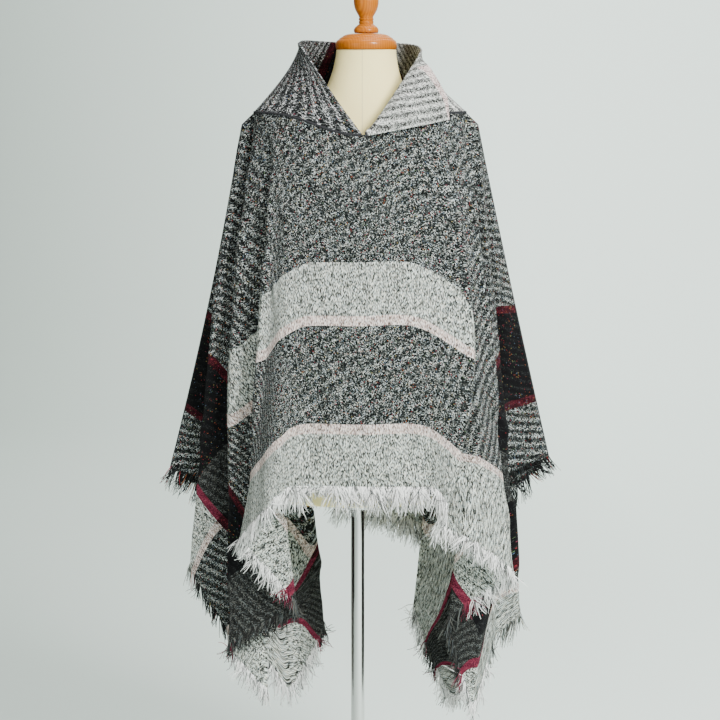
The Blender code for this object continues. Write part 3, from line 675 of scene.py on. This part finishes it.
def collarMaterial(name, gone):
    # bands run up the strip: tweed, then dark red, black and dark red at the back, light to the turned-out end
    tree = Tree(name, 0.95, sheen=0.02, gloss=0.12)
    flat = tree.uv()
    along, up = tree.split(flat, 0), tree.split(flat, 1)
    shade, _, fleck, tint, relief = yarns(tree, along, up, 0.0, collar["rib"])
    rib = (along * (2 * math.pi / collar["rib"]) + tree.noise(flat, 18.0) * 3.0).sine()
    cloud = tree.noise(flat, 16.0, 3.0)
    # the rib raises the shade on its crests and lowers it in its grooves, in step with its bump: painted shade in the
    # grooves, strongest on the light band
    shade = shade + rib * 0.10 + (cloud - 0.5) * 0.12
    looks = {key: tree.ramp(shade, yarnColour[key]) for key in ("tweed", "red", "black", "pink")}
    looks["light"] = tree.ramp(shade + rib * 0.12 - 0.06, yarnColour["light"])
    redStart = gone[3] + collar["redFrom"]
    blackStart, blackEnd = redStart + collar["redWide"], gone[6] - collar["blackShort"]
    light = along > blackEnd + collar["redAfter"]
    pink = (along > gone[10] - collar["pinkFrom"]) * (up > collar["pinkUp"])
    colour = tree.mix(along > redStart, looks["tweed"], looks["red"])
    colour = tree.mix(along > blackStart, colour, looks["black"])
    colour = tree.mix(along > blackEnd, colour, looks["red"])
    colour = tree.mix(light, colour, looks["light"])
    colour = tree.mix(pink, colour, looks["pink"])
    colour = tree.mix(fleck * (1.0 - light), colour, tree.ramp(tint, fleckColour, "CONSTANT"))
    return tree.finish(colour, relief * 0.6 + rib * 0.6, 0.0018, 0.8)


collarCloth, collarSeam = collarPiece()
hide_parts("collar")


seam = {"radius": 0.0021, "out": 0.0022, "down": 0.0016}


def seamRidge(name, line, material):
    # a stitched ridge along a seam
    path = bpy.data.curves.new(name, "CURVE")
    path.dimensions, path.bevel_depth, path.bevel_resolution, path.use_fill_caps = "3D", seam["radius"], 2, True
    spline = path.splines.new("POLY")
    spline.points.add(len(line) - 1)
    for spot, point in zip(spline.points, line):
        spot.co = (*point, 1.0)
    path.materials.append(material)
    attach(addObject(name, path), "root")


def threadMaterial():
    tree = Tree("seamThread", 0.95, gloss=0.1)
    grain = tree.noise(tree.place(), 900.0, 2.0)
    return tree.finish(tree.mix(grain, (0.004, 0.004, 0.005), (0.05, 0.052, 0.055)), grain, 0.0006, 0.6)


thread = threadMaterial()
seamRidge("collarSeam", [point + Vector((point.x, point.y, 0)).normalized() * seam["out"] - Vector((0, 0, seam["down"]))
                         for point in collarSeam], thread)
for side, tag in ((-1, "Left"), (1, "Right")):
    column = 0 if side < 0 else -1
    over = sorted((point for point in frontPoints[0] if side * point.x > neck["halfX"]), key=lambda point: -point.z)
    down = [one[column].lerp(other[column], 0.5) for one, other in zip(frontPoints[1:], backPoints[1:])]
    seamRidge("sleeveSeam" + tag, [Vector((point.x, shoulderY, point.z)) for point in over] + down, thread)
print("collar stood on the neckline and seams sewn")


fringe = {
    "spacing": 0.00118, "long": 0.031, "thick": 0.00100, "stations": 5, "sides": 3, "taper": 0.35, "rooted": 0.0035,
    "hemFrom": 0.742,  # strands lower on the cut than this belong to the hem
    "middle": 0.15,  # half the width of the hem's middle stretch
    "sideStep": 1.0, "hemStep": 0.66, "middleStep": 0.31,  # spacing between strands, as a share
    "gap": (-0.108, -0.060), "gapLong": 0.55, "middleLong": 1.28,  # a gap of short strands in that stretch
    # a lock's width and length, how far its strands lean and lift together, and how they gather towards its tip
    "lock": 0.0105, "lockWide": (0.55, 1.5), "lockLong": (0.78, 1.15), "lean": 0.32, "lift": 0.16, "swing": 0.55,
    "gather": 0.55, "hemGather": 0.25,
    # how far a single strand leaves its lock, and a few stray far
    "stepVary": (0.6, 1.4), "uneven": 0.24, "unevenVary": (-1.2, 0.8), "hemLoose": 0.46, "sideLoose": 0.16,
    "stray": 2.5, "strayShare": 0.12, "liftVary": 0.10, "bendAlong": 0.28, "bendOut": 0.15, "sag": 0.30,
    "rootVary": 0.0012, "hemThick": (1.0, 1.5), "sideThick": (0.8, 1.2),
    "waves": 7, "leastWave": 0.0004, "hemWave": 0.0042, "sideWave": 0.0022,
    "splay": 0.55, "splayTo": 0.16,  # how far the cuffs' strands turn outwards, and down to where on the cut
    "cells": 4000.0, "fleck": 0.965,
    # the white strands' shades by their random tint: roughly a quarter are painted nearly black, as painted shadow in
    # the gaps between strands
    "pale": ((0.0, (0.03, 0.03, 0.03)), (0.22, (0.16, 0.16, 0.155)), (0.34, (0.85, 0.85, 0.83)),
             (1.0, (1.0, 1.0, 0.98))),
}


def fringeMaterial(name):
    # every strand has one flat point, so it keeps one shade; along the hem the strands are nearly white, with roughly a
    # quarter painted nearly black as painted shadow between the strands
    tree = Tree(name, 0.9, sheen=0.03, gloss=0.15)
    flat = tree.uv()
    across, down = tree.split(flat, 0), tree.split(flat, 1)
    cell = tree.join((across * fringe["cells"]).floor(), (down * fringe["cells"]).floor())
    colours = tree.random(cell, output=1)
    hem = down > fringe["hemFrom"]
    shade = tree.split(colours, 0) * 0.7 + hem * 0.3
    fleck, tint = tree.split(colours, 1) > fringe["fleck"], tree.split(colours, 2)
    colour = plaidColour(tree, across, down, shade, shade, fleck, tint)
    side = abs(across)
    white = hem * (1.0 - side.within(plaid["redInner"][0], plaid["redOuter"][1]))
    return tree.finish(tree.mix(white * 0.9, colour, tree.ramp(tint, fringe["pale"])))


def strandTemplate():
    # one strand of unit length, thinner towards its tip
    shape = bmesh.new()
    bmesh.ops.create_cone(shape, cap_ends=True, segments=fringe["sides"], radius1=1.0, radius2=0.6, depth=1.0)
    long = [edge for edge in shape.edges if abs(edge.verts[0].co.z - edge.verts[1].co.z) > 0.5]
    bmesh.ops.subdivide_edges(shape, edges=long, cuts=fringe["stations"] - 1, use_grid_fill=True)
    bmesh.ops.triangulate(shape, faces=[face for face in shape.faces if len(face.verts) > 4])
    bmesh.ops.recalc_face_normals(shape, faces=shape.faces)
    bmesh.ops.translate(shape, verts=shape.verts, vec=(0, 0, 0.5))
    mesh = bpy.data.meshes.new("strand")
    shape.to_mesh(mesh)
    shape.free()
    return mesh


def stretchOf(flat):
    # which part of the cloth's edge a flat point lies on
    if flat.y <= fringe["hemFrom"]:
        return "side"
    return "middle" if abs(flat.x) <= fringe["middle"] else "hem"


def nextLock(gone, flat, stretch):
    lock = {"start": gone, "end": gone + fringe["lock"] * random.uniform(*fringe["lockWide"]),
            "lean": random.gauss(0, fringe["lean"]), "lift": random.gauss(0, fringe["lift"]),
            "long": fringe["long"] * random.uniform(*fringe["lockLong"]), "hem": stretch != "side"}
    if stretch == "middle":
        short = fringe["gap"][0] < flat.x < fringe["gap"][1]
        lock["long"] *= fringe["gapLong" if short else "middleLong"]
    return lock


def strandCorners(corners, root, down, normal, sideways, flat, lock, gone):
    # a strand leaves its root along its aim, then bends, waves and thins
    hem, wide = lock["hem"], lock["end"] - lock["start"]
    gather = (0.5 - (gone - lock["start"]) / wide) * wide * fringe["gather"] / lock["long"]
    long = lock["long"] * (1 + fringe["uneven"] * random.uniform(*fringe["unevenVary"]))
    loose = random.gauss(0, fringe["hemLoose" if hem else "sideLoose"])
    loose *= fringe["stray"] if random.random() < fringe["strayShare"] else 1.0
    gather *= fringe["hemGather"] if hem else 1.0
    outward = Vector((math.copysign(fringe["splay"], flat.x) * max(0.0, 1 - flat.y / fringe["splayTo"]), 0, 0))
    aim = (down + outward + sideways * (lock["lean"] * fringe["swing"] + gather + loose)
           + normal * (lock["lift"] + random.gauss(0, fringe["liftVary"]))).normalized()
    bend = (sideways * (lock["lean"] + random.gauss(0, fringe["bendAlong"])) * 0.5
            + normal * random.gauss(0, fringe["bendOut"]) + Vector((0, 0, -fringe["sag"])))
    start = root - down * fringe["rooted"] + normal * random.uniform(-fringe["rootVary"], fringe["rootVary"])
    twist = random.uniform(0, 6.28)
    a = aim.orthogonal().normalized()
    b = aim.cross(a)
    wave = random.uniform(fringe["leastWave"], fringe["hemWave" if hem else "sideWave"])
    phase = random.uniform(0, 6.28)
    thick = fringe["thick"] * random.uniform(*fringe["hemThick" if hem else "sideThick"])
    found = []
    for x, y, z in corners:
        swung = a * wave * math.sin(z * fringe["waves"] + phase) * z
        spine = start + aim * long * z + bend * long * z * z * 0.5 + swung
        turn = math.cos(twist) * x - math.sin(twist) * y, math.sin(twist) * x + math.cos(twist) * y
        found.append(spine + (a * turn[0] + b * turn[1]) * thick * (1 - fringe["taper"] * z))
    return found


def fringePiece(name, points, flats, material):
    template = strandTemplate()
    corners = np.array([tuple(v.co) for v in template.vertices])
    faces = [tuple(p.vertices) for p in template.polygons]
    edge, above, flatEdge = points[-1], points[-3], flats[-1]
    _, normals = gridNormals(points)
    allCorners, allFaces, allFlats = [], [], []
    need, gone, lock = fringe["spacing"], 0.0, {"end": 0.0}
    for i in range(len(edge) - 1):
        run = edge[i + 1] - edge[i]
        stretch = stretchOf(flatEdge[i])
        step = fringe["spacing"] * fringe[stretch + "Step"]
        while need < run.length:
            s = need / run.length
            need += step * random.uniform(*fringe["stepVary"])
            gone += step
            if gone > lock["end"]:
                lock = nextLock(gone, flatEdge[i], stretch)
            root = edge[i].lerp(edge[i + 1], s)
            down = (edge[i] - above[i]).lerp(edge[i + 1] - above[i + 1], s).normalized()
            flat = flatEdge[i].lerp(flatEdge[i + 1], s)
            base = len(allCorners)
            allCorners += strandCorners(corners, root, down, Vector(normals[-1][i]), run.normalized(), flat, lock, gone)
            allFaces += [tuple(base + k for k in face) for face in faces]
            allFlats += [flat] * len(corners)
        need -= run.length
    mesh = bpy.data.meshes.new(name)
    mesh.from_pydata([tuple(p) for p in allCorners], [], allFaces)
    layer = mesh.uv_layers.new(name="flat")
    layer.data.foreach_set("uv", [c for loop in mesh.loops for c in allFlats[loop.vertex_index]])
    mesh.shade_smooth()
    mesh.materials.append(material)
    made = addObject(name, mesh)
    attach(made, "root")
    print(name, "strands", len(allCorners) // len(corners), "triangles", sum(len(f) - 2 for f in allFaces))
    return made


strandLook = fringeMaterial("fringeYarn")
frontFringe = fringePiece("frontFringe", frontPoints, frontFlats, strandLook)
backFringe = fringePiece("backFringe", backPoints, backFlats, strandLook)
for piece, node in ((frontFringe, "fringe_front"), (backFringe, "fringe_back")):
    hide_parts(node)
print("fringe knotted in")


form = {"bottom": 0.655, "neckX": 0.011, "poleX": -0.004, "around": 96, "between": 6, "rim": 0.004}
# height, half width, depth in front, depth behind
formSections = (
    (0.655, 0.148, 0.096, 0.100), (0.700, 0.152, 0.102, 0.108), (0.780, 0.150, 0.104, 0.112),
    (0.860, 0.136, 0.096, 0.100), (0.930, 0.124, 0.090, 0.090), (1.000, 0.126, 0.096, 0.088),
    (1.070, 0.138, 0.112, 0.090), (1.130, 0.150, 0.126, 0.094), (1.190, 0.160, 0.118, 0.096),
    (1.240, 0.170, 0.098, 0.092), (1.280, 0.178, 0.080, 0.080), (1.308, 0.170, 0.068, 0.070),
    (1.328, 0.146, 0.063, 0.064), (1.346, 0.118, 0.060, 0.060), (1.366, 0.092, 0.057, 0.057),
    (1.390, 0.073, 0.054, 0.055), (1.420, 0.061, 0.051, 0.052), (1.446, 0.055, 0.050, 0.050),
    (1.463, 0.053, 0.049, 0.049),
)
neckTop = formSections[-1][0]


def formSize(z):
    # half width and depths at a height, smoothly between the sections
    heights = [s[0] for s in formSections]
    i = max(1, min(len(heights) - 1, next((k for k, h in enumerate(heights) if h >= z), len(heights) - 1)))
    s = (z - heights[i - 1]) / (heights[i] - heights[i - 1])
    found = []
    for c in (1, 2, 3):
        p = [formSections[max(0, min(len(heights) - 1, i + k))][c] for k in (-2, -1, 0, 1)]
        # Catmull and Rom's curve through the four nearest sections
        found.append(0.5 * (2 * p[1] + (p[2] - p[0]) * s + (2 * p[0] - 5 * p[1] + 4 * p[2] - p[3]) * s * s
                            + (3 * p[1] - p[0] - 3 * p[2] + p[3]) * s ** 3))
    return found


def fixOrder(shape):
    # extruding leaves edges and faces in another order each run, so both are sorted by their corners
    shape.verts.index_update()
    for elements in (shape.edges, shape.faces):
        ordered = sorted(elements, key=lambda each: sorted(vert.index for vert in each.verts))
        for place, each in enumerate(ordered):
            each.index = place
        elements.sort()


def formPiece(material):
    heights = [a[0] + (b[0] - a[0]) * k / form["between"] for a, b in zip(formSections, formSections[1:])
               for k in range(form["between"])] + [neckTop]
    shape = bmesh.new()
    ring = bmesh.ops.create_circle(shape, cap_ends=True, segments=form["around"], radius=1.0)["verts"]
    rings = [ring]
    edges = list({edge for vert in ring for edge in vert.link_edges})
    for _ in heights[1:]:
        made = bmesh.ops.extrude_edge_only(shape, edges=edges)["geom"]
        ring = [v for v in made if isinstance(v, bmesh.types.BMVert)]
        edges = [e for e in made if isinstance(e, bmesh.types.BMEdge)]
        rings.append(ring)
    bmesh.ops.contextual_create(shape, geom=edges)
    for ring, z in zip(rings, heights):
        halfX, front, back = formSize(z)
        middle = form["poleX"] + (form["neckX"] - form["poleX"]) * (z - form["bottom"]) / (neckTop - form["bottom"])
        for vert in ring:
            angle = math.atan2(vert.co.y, vert.co.x)
            vert.co = (middle + halfX * math.cos(angle), (back if math.sin(angle) > 0 else front) * math.sin(angle), z)
    rims = [e for e in shape.edges if all(abs(v.co.z - form["bottom"]) < 1e-6 for v in e.verts)]
    bmesh.ops.bevel(shape, geom=rims, offset=form["rim"], offset_type="OFFSET", affect="EDGES", segments=3,
                    profile=0.5, material=-1)
    bmesh.ops.recalc_face_normals(shape, faces=shape.faces)
    fixOrder(shape)
    return keepPiece("formBody", shape, material)


linen = {"deep": (1.0, 0.79, 0.32), "pale": (1.0, 0.93, 0.49), "stitch": (0.45, 0.38, 0.27), "thread": 0.0011,
         "seamX": 0.004, "seamHalf": 0.0006, "seamWide": 0.0005, "girth": 0.09}


def linenMaterial():
    # plain weave round the form, with slubs both ways and a sewn line down its middle
    tree = Tree("formLinen", 0.85, gloss=0.25)
    place = tree.place()
    x, y, z = (tree.split(place, k) for k in (0, 1, 2))
    turn = tree.node("ShaderNodeMath", {"operation": "ARCTAN2"}, {0: y, 1: x - linen["seamX"]})
    around = turn * linen["girth"]
    warp = (around * (2 * math.pi / linen["thread"])).sine()
    weft = (z * (2 * math.pi / linen["thread"])).sine()
    slub = tree.noise(tree.join(around * 60.0, z * 900.0, 0.0), 1.0, 2.0)
    slubUp = tree.noise(tree.join(around * 900.0, z * 60.0, 4.0), 1.0, 2.0)
    base = tree.mix(slub * 0.5 + slubUp * 0.5, linen["deep"], linen["pale"])
    stitch = abs(abs(x - linen["seamX"]) - linen["seamHalf"]) < linen["seamWide"]
    colour = tree.mix(stitch * 0.35, base, linen["stitch"])
    return tree.finish(colour, warp * 0.5 + weft * 0.5 + slub, 0.0003, 0.5)


formBody = formPiece(linenMaterial())
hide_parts("form_body")
print("form covered")


# Profiles are half width and height over the piece's own foot
wood = {"pale": (0.46, 0.140, 0.004), "deep": (0.235, 0.056, 0.0015), "ring": 0.0042, "heart": (0.03, 0.045, -0.235)}
capProfile = ((0.0, 0.0), (0.0520, 0.0), (0.0534, 0.0012), (0.0542, 0.004), (0.0546, 0.008), (0.0542, 0.012),
              (0.0528, 0.015), (0.0500, 0.0174), (0.0486, 0.0180), (0.0482, 0.0189), (0.0462, 0.0206), (0.0436, 0.0222),
              (0.0422, 0.0228), (0.0416, 0.0238), (0.0380, 0.0256), (0.0330, 0.0272), (0.0280, 0.0281), (0.0, 0.0290))
finialProfile = ((0.0, 0.0), (0.0200, 0.0), (0.0214, 0.0010), (0.0222, 0.0040), (0.0216, 0.0072),
                 (0.0195, 0.0104), (0.0160, 0.0132), (0.0134, 0.0150), (0.0126, 0.0162), (0.0131, 0.0176),
                 (0.0134, 0.0190), (0.0130, 0.0204), (0.0121, 0.0214), (0.0128, 0.0226), (0.0135, 0.0242),
                 (0.0130, 0.0256), (0.0123, 0.0268), (0.0130, 0.0290), (0.0145, 0.0320), (0.0168, 0.0358),
                 (0.0190, 0.0400), (0.0207, 0.0448), (0.0218, 0.0500), (0.0223, 0.0555), (0.0221, 0.0610),
                 (0.0213, 0.0665), (0.0198, 0.0718), (0.0172, 0.0772), (0.0134, 0.0820), (0.0085, 0.0852),
                 (0.0, 0.0866))


def turned(name, profile, x, z, sides, material):
    # a profile spun round an upright line at x, standing on z
    shape = bmesh.new()
    rim = [shape.verts.new((radius, 0, height)) for radius, height in profile]
    edges = [shape.edges.new(pair) for pair in zip(rim, rim[1:])]
    bmesh.ops.spin(shape, geom=rim + edges, axis=(0, 0, 1), cent=(0, 0, 0), angle=2 * math.pi, steps=sides,
                   use_merge=True)
    bmesh.ops.remove_doubles(shape, verts=shape.verts, dist=1e-6)
    bmesh.ops.recalc_face_normals(shape, faces=shape.faces)
    bmesh.ops.translate(shape, verts=shape.verts, vec=(x, 0, z))
    fixOrder(shape)
    made = keepPiece(name, shape, material)
    made.data.set_sharp_from_angle(angle=math.radians(38))
    return made


def woodMaterial():
    tree = Tree("turnedWood", 0.42, coat=0.15, gloss=0.15)
    tree.shader.inputs["Coat Roughness"].default_value = 0.12
    place = tree.place()
    x, y, z = (tree.split(place, k) for k in (0, 1, 2))
    warped = tree.noise(tree.join(x * 9.0, y * 9.0, z * 3.0), 1.0, 3.0)
    across = tree.join(x + warped * 0.014, y + warped * 0.014, z * 0.16)
    moved = tree.node("ShaderNodeVectorMath", {"operation": "ADD"}, {0: across, 1: wood["heart"]})
    away = tree.node("ShaderNodeVectorMath", {"operation": "LENGTH"}, {0: moved}, output=1)
    rings = (away * (2 * math.pi / wood["ring"])).sine()
    pores = tree.noise(tree.join(x * 260.0, y * 260.0, z * 24.0), 1.0, 2.0)
    colour = tree.mix(rings * 0.22 + 0.42 + (pores - 0.5) * 0.5, wood["pale"], wood["deep"])
    return tree.finish(colour, pores, 0.0002, 0.25)


stand = {"poleR": 0.0122, "gap": 0.0003}
flangeProfile = ((0.0, 0.0), (0.0325, 0.0), (0.0336, 0.0005), (0.0340, 0.0016), (0.0340, 0.0124),
                 (0.0336, 0.0135), (0.0325, 0.0140), (0.0, 0.0140))
footProfile = ((0.0, 0.0), (0.1520, 0.0), (0.1541, 0.0009), (0.1550, 0.0030), (0.1550, 0.0090), (0.1541, 0.0111),
               (0.1520, 0.0120), (0.0275, 0.0120), (0.0264, 0.0125), (0.0260, 0.0136), (0.0260, 0.0420),
               (0.0251, 0.0441), (0.0230, 0.0450), (0.0, 0.0450))
steel = {"dark": (0.50, 0.50, 0.49), "bright": (0.64, 0.64, 0.63), "roughness": 0.13, "smear": 0.08}


def steelMaterial():
    tree = Tree("poleSteel", steel["roughness"], metallic=1.0)
    x, y, z = (tree.split(tree.place(), k) for k in (0, 1, 2))
    smear = tree.noise(tree.join(x * 30.0, y * 30.0, z * 3.0), 1.0)
    dull = smear * steel["smear"] + (steel["roughness"] - steel["smear"] / 2)
    tree.links.new(dull.socket, tree.shader.inputs["Roughness"])
    return tree.finish(tree.mix(smear, steel["dark"], steel["bright"]))


woodLook, steelLook = woodMaterial(), steelMaterial()
capZ = neckTop + stand["gap"]
neckCap = turned("neckCap", capProfile, form["neckX"], capZ, 96, woodLook)
finial = turned("finial", finialProfile, form["neckX"], capZ + capProfile[-1][1] + stand["gap"], 72, woodLook)
flangeZ = form["bottom"] - stand["gap"] - flangeProfile[-1][1]
poleZ = footProfile[-1][1] + stand["gap"]
poleTop = flangeZ - stand["gap"] - poleZ
pole = turned("pole", ((0.0, 0.0), (stand["poleR"], 0.0), (stand["poleR"], poleTop), (0.0, poleTop)),
              form["poleX"], poleZ, 64, steelLook)
flange = turned("poleSocket", flangeProfile, form["poleX"], flangeZ, 64, steelLook)
foot = turned("basePlate", footProfile, form["poleX"], 0.0, 128, steelLook)
for piece, node, slot in ((neckCap, "neck_cap", "turned_wood"), (finial, "finial", "turned_wood"),
                          (pole, "pole", "pole_steel"), (flange, "pole_socket", "pole_steel"),
                          (foot, "base_plate", "pole_steel")):
    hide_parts(node)
print("wood turned and stand set")


# the wall's colour, and a darker one that paints shade on its left side and low down
studio = {"wall": (0.83, 0.94, 0.875), "shadedWall": (0.45, 0.52, 0.475), "wide": 24.0, "near": -9.0, "far": 9.0,
          "tall": 9.0, "bend": 3.0, "bendSteps": 12, "air": (0.93, 0.97, 0.95, 1.0), "airStrength": 0.35}
cards = {"out": 0.9, "back": 0.33, "low": 0.09, "wide": 1.33, "tall": 0.66,
         "dark": (0.016, 0.016, 0.014), "grey": (0.034, 0.034, 0.030)}
# Name, place, what it aims at, width, height and watts
lights = (
    ("key", (1.9, -3.3, 2.9), (0.0, 0.0, 1.0), 1.2, 1.2, 380),
    ("fill", (-3.0, -3.6, 1.8), (0.0, 0.0, 0.9), 2.4, 2.6, 62),
    ("top", (0.6, -0.2, 4.6), (0.2, 0.6, 1.0), 2.4, 1.6, 150),
    ("wash", (1.5, 4.6, 6.5), (1.0, 8.6, 1.2), 5.0, 1.6, 620),
)


def backdrop():
    # a floor that bends up into a wall, with painted shade: its colour darkens towards the viewer's left and lower
    # down, as if lit from the right
    tree = Tree("backdrop", 0.9)
    place = tree.place()
    uneven = (tree.noise(place, 0.6, 1.0) - 0.5) * 0.05
    # painted shade: the share of the wall's colour falls towards the viewer's left and lower down, standing in for
    # light falling from the right
    share = tree.split(place, 0) * 0.38 + tree.split(place, 2) * 0.07 + 0.64 + uneven
    material = tree.finish(tree.mix(share, studio["shadedWall"], studio["wall"]))
    shape = bmesh.new()
    profile = [(studio["near"], 0.0), (studio["far"] - studio["bend"], 0.0)]
    for k in range(1, studio["bendSteps"] + 1):
        a = math.pi / 2 * k / studio["bendSteps"]
        profile.append((studio["far"] - studio["bend"] + studio["bend"] * math.sin(a),
                        studio["bend"] * (1 - math.cos(a))))
    profile.append((studio["far"], studio["tall"]))
    line = [shape.verts.new((-studio["wide"] / 2, y, z - 0.0005)) for y, z in profile]
    edges = [shape.edges.new(pair) for pair in zip(line, line[1:])]
    swept = bmesh.ops.extrude_edge_only(shape, edges=edges)["geom"]
    bmesh.ops.translate(shape, verts=[v for v in swept if isinstance(v, bmesh.types.BMVert)],
                        vec=(studio["wide"], 0, 0))
    bmesh.ops.recalc_face_normals(shape, faces=shape.faces)
    meshObject("backdrop", shape, material)


def softbox(name, place, aim, wide, tall, power):
    lamp = bpy.data.lights.new(name, "AREA")
    lamp.shape, lamp.size, lamp.size_y, lamp.energy = "RECTANGLE", wide, tall, power
    made = addObject(name, lamp)
    made.location = place
    made.rotation_euler = (Vector(aim) - Vector(place)).to_track_quat("-Z", "Y").to_euler()


def darkCard(name, side):
    # a dark card beside the stand that only shows mirrored in the steel
    tree = Tree(name, 0.9)
    material = tree.finish(tree.mix(tree.noise(tree.place(), 2.0), cards["dark"], cards["grey"]))
    shape = bmesh.new()
    bmesh.ops.create_grid(shape, x_segments=1, y_segments=1, size=0.5)
    bmesh.ops.scale(shape, verts=shape.verts, vec=(cards["tall"], cards["wide"], 1.0))
    bmesh.ops.rotate(shape, verts=shape.verts, matrix=Matrix.Rotation(math.pi / 2, 3, "Y"))
    bmesh.ops.translate(shape, verts=shape.verts,
                        vec=(side * cards["out"], cards["back"], cards["low"] + cards["tall"] / 2))
    made = meshObject(name, shape, material)
    made.visible_camera = made.visible_diffuse = made.visible_shadow = made.visible_transmission = False


backdrop()
for side, tag in ((-1, "Left"), (1, "Right")):
    darkCard("darkCard" + tag, side)
for each in lights:
    softbox(*each)
world = bpy.data.worlds.new("studio")
world.use_nodes = True
world.node_tree.nodes["Background"].inputs["Color"].default_value = studio["air"]
world.node_tree.nodes["Background"].inputs["Strength"].default_value = studio["airStrength"]
bpy.context.scene.world = world

# A pixel is the metres that one covers at the stand, and below is how many the view's middle lies under the shoulder
camera = {"away": 4.5, "up": 6.0, "pixel": 0.0018, "below": 234, "pixels": 720, "sensor": 36}
target = Vector((0, 0, shoulderZ - camera["below"] * camera["pixel"]))
lens = bpy.data.cameras.new("camera")
eye = addObject("camera", lens)
tilt = math.radians(camera["up"])
eye.location = target + Vector((0, -math.cos(tilt), math.sin(tilt))) * camera["away"]
eye.rotation_euler = (target - eye.location).to_track_quat("-Z", "Y").to_euler()
lens.sensor_width = camera["sensor"]
lens.lens = camera["sensor"] * camera["away"] / (camera["pixels"] * camera["pixel"])
bpy.context.scene.camera = eye
print("studio lit")
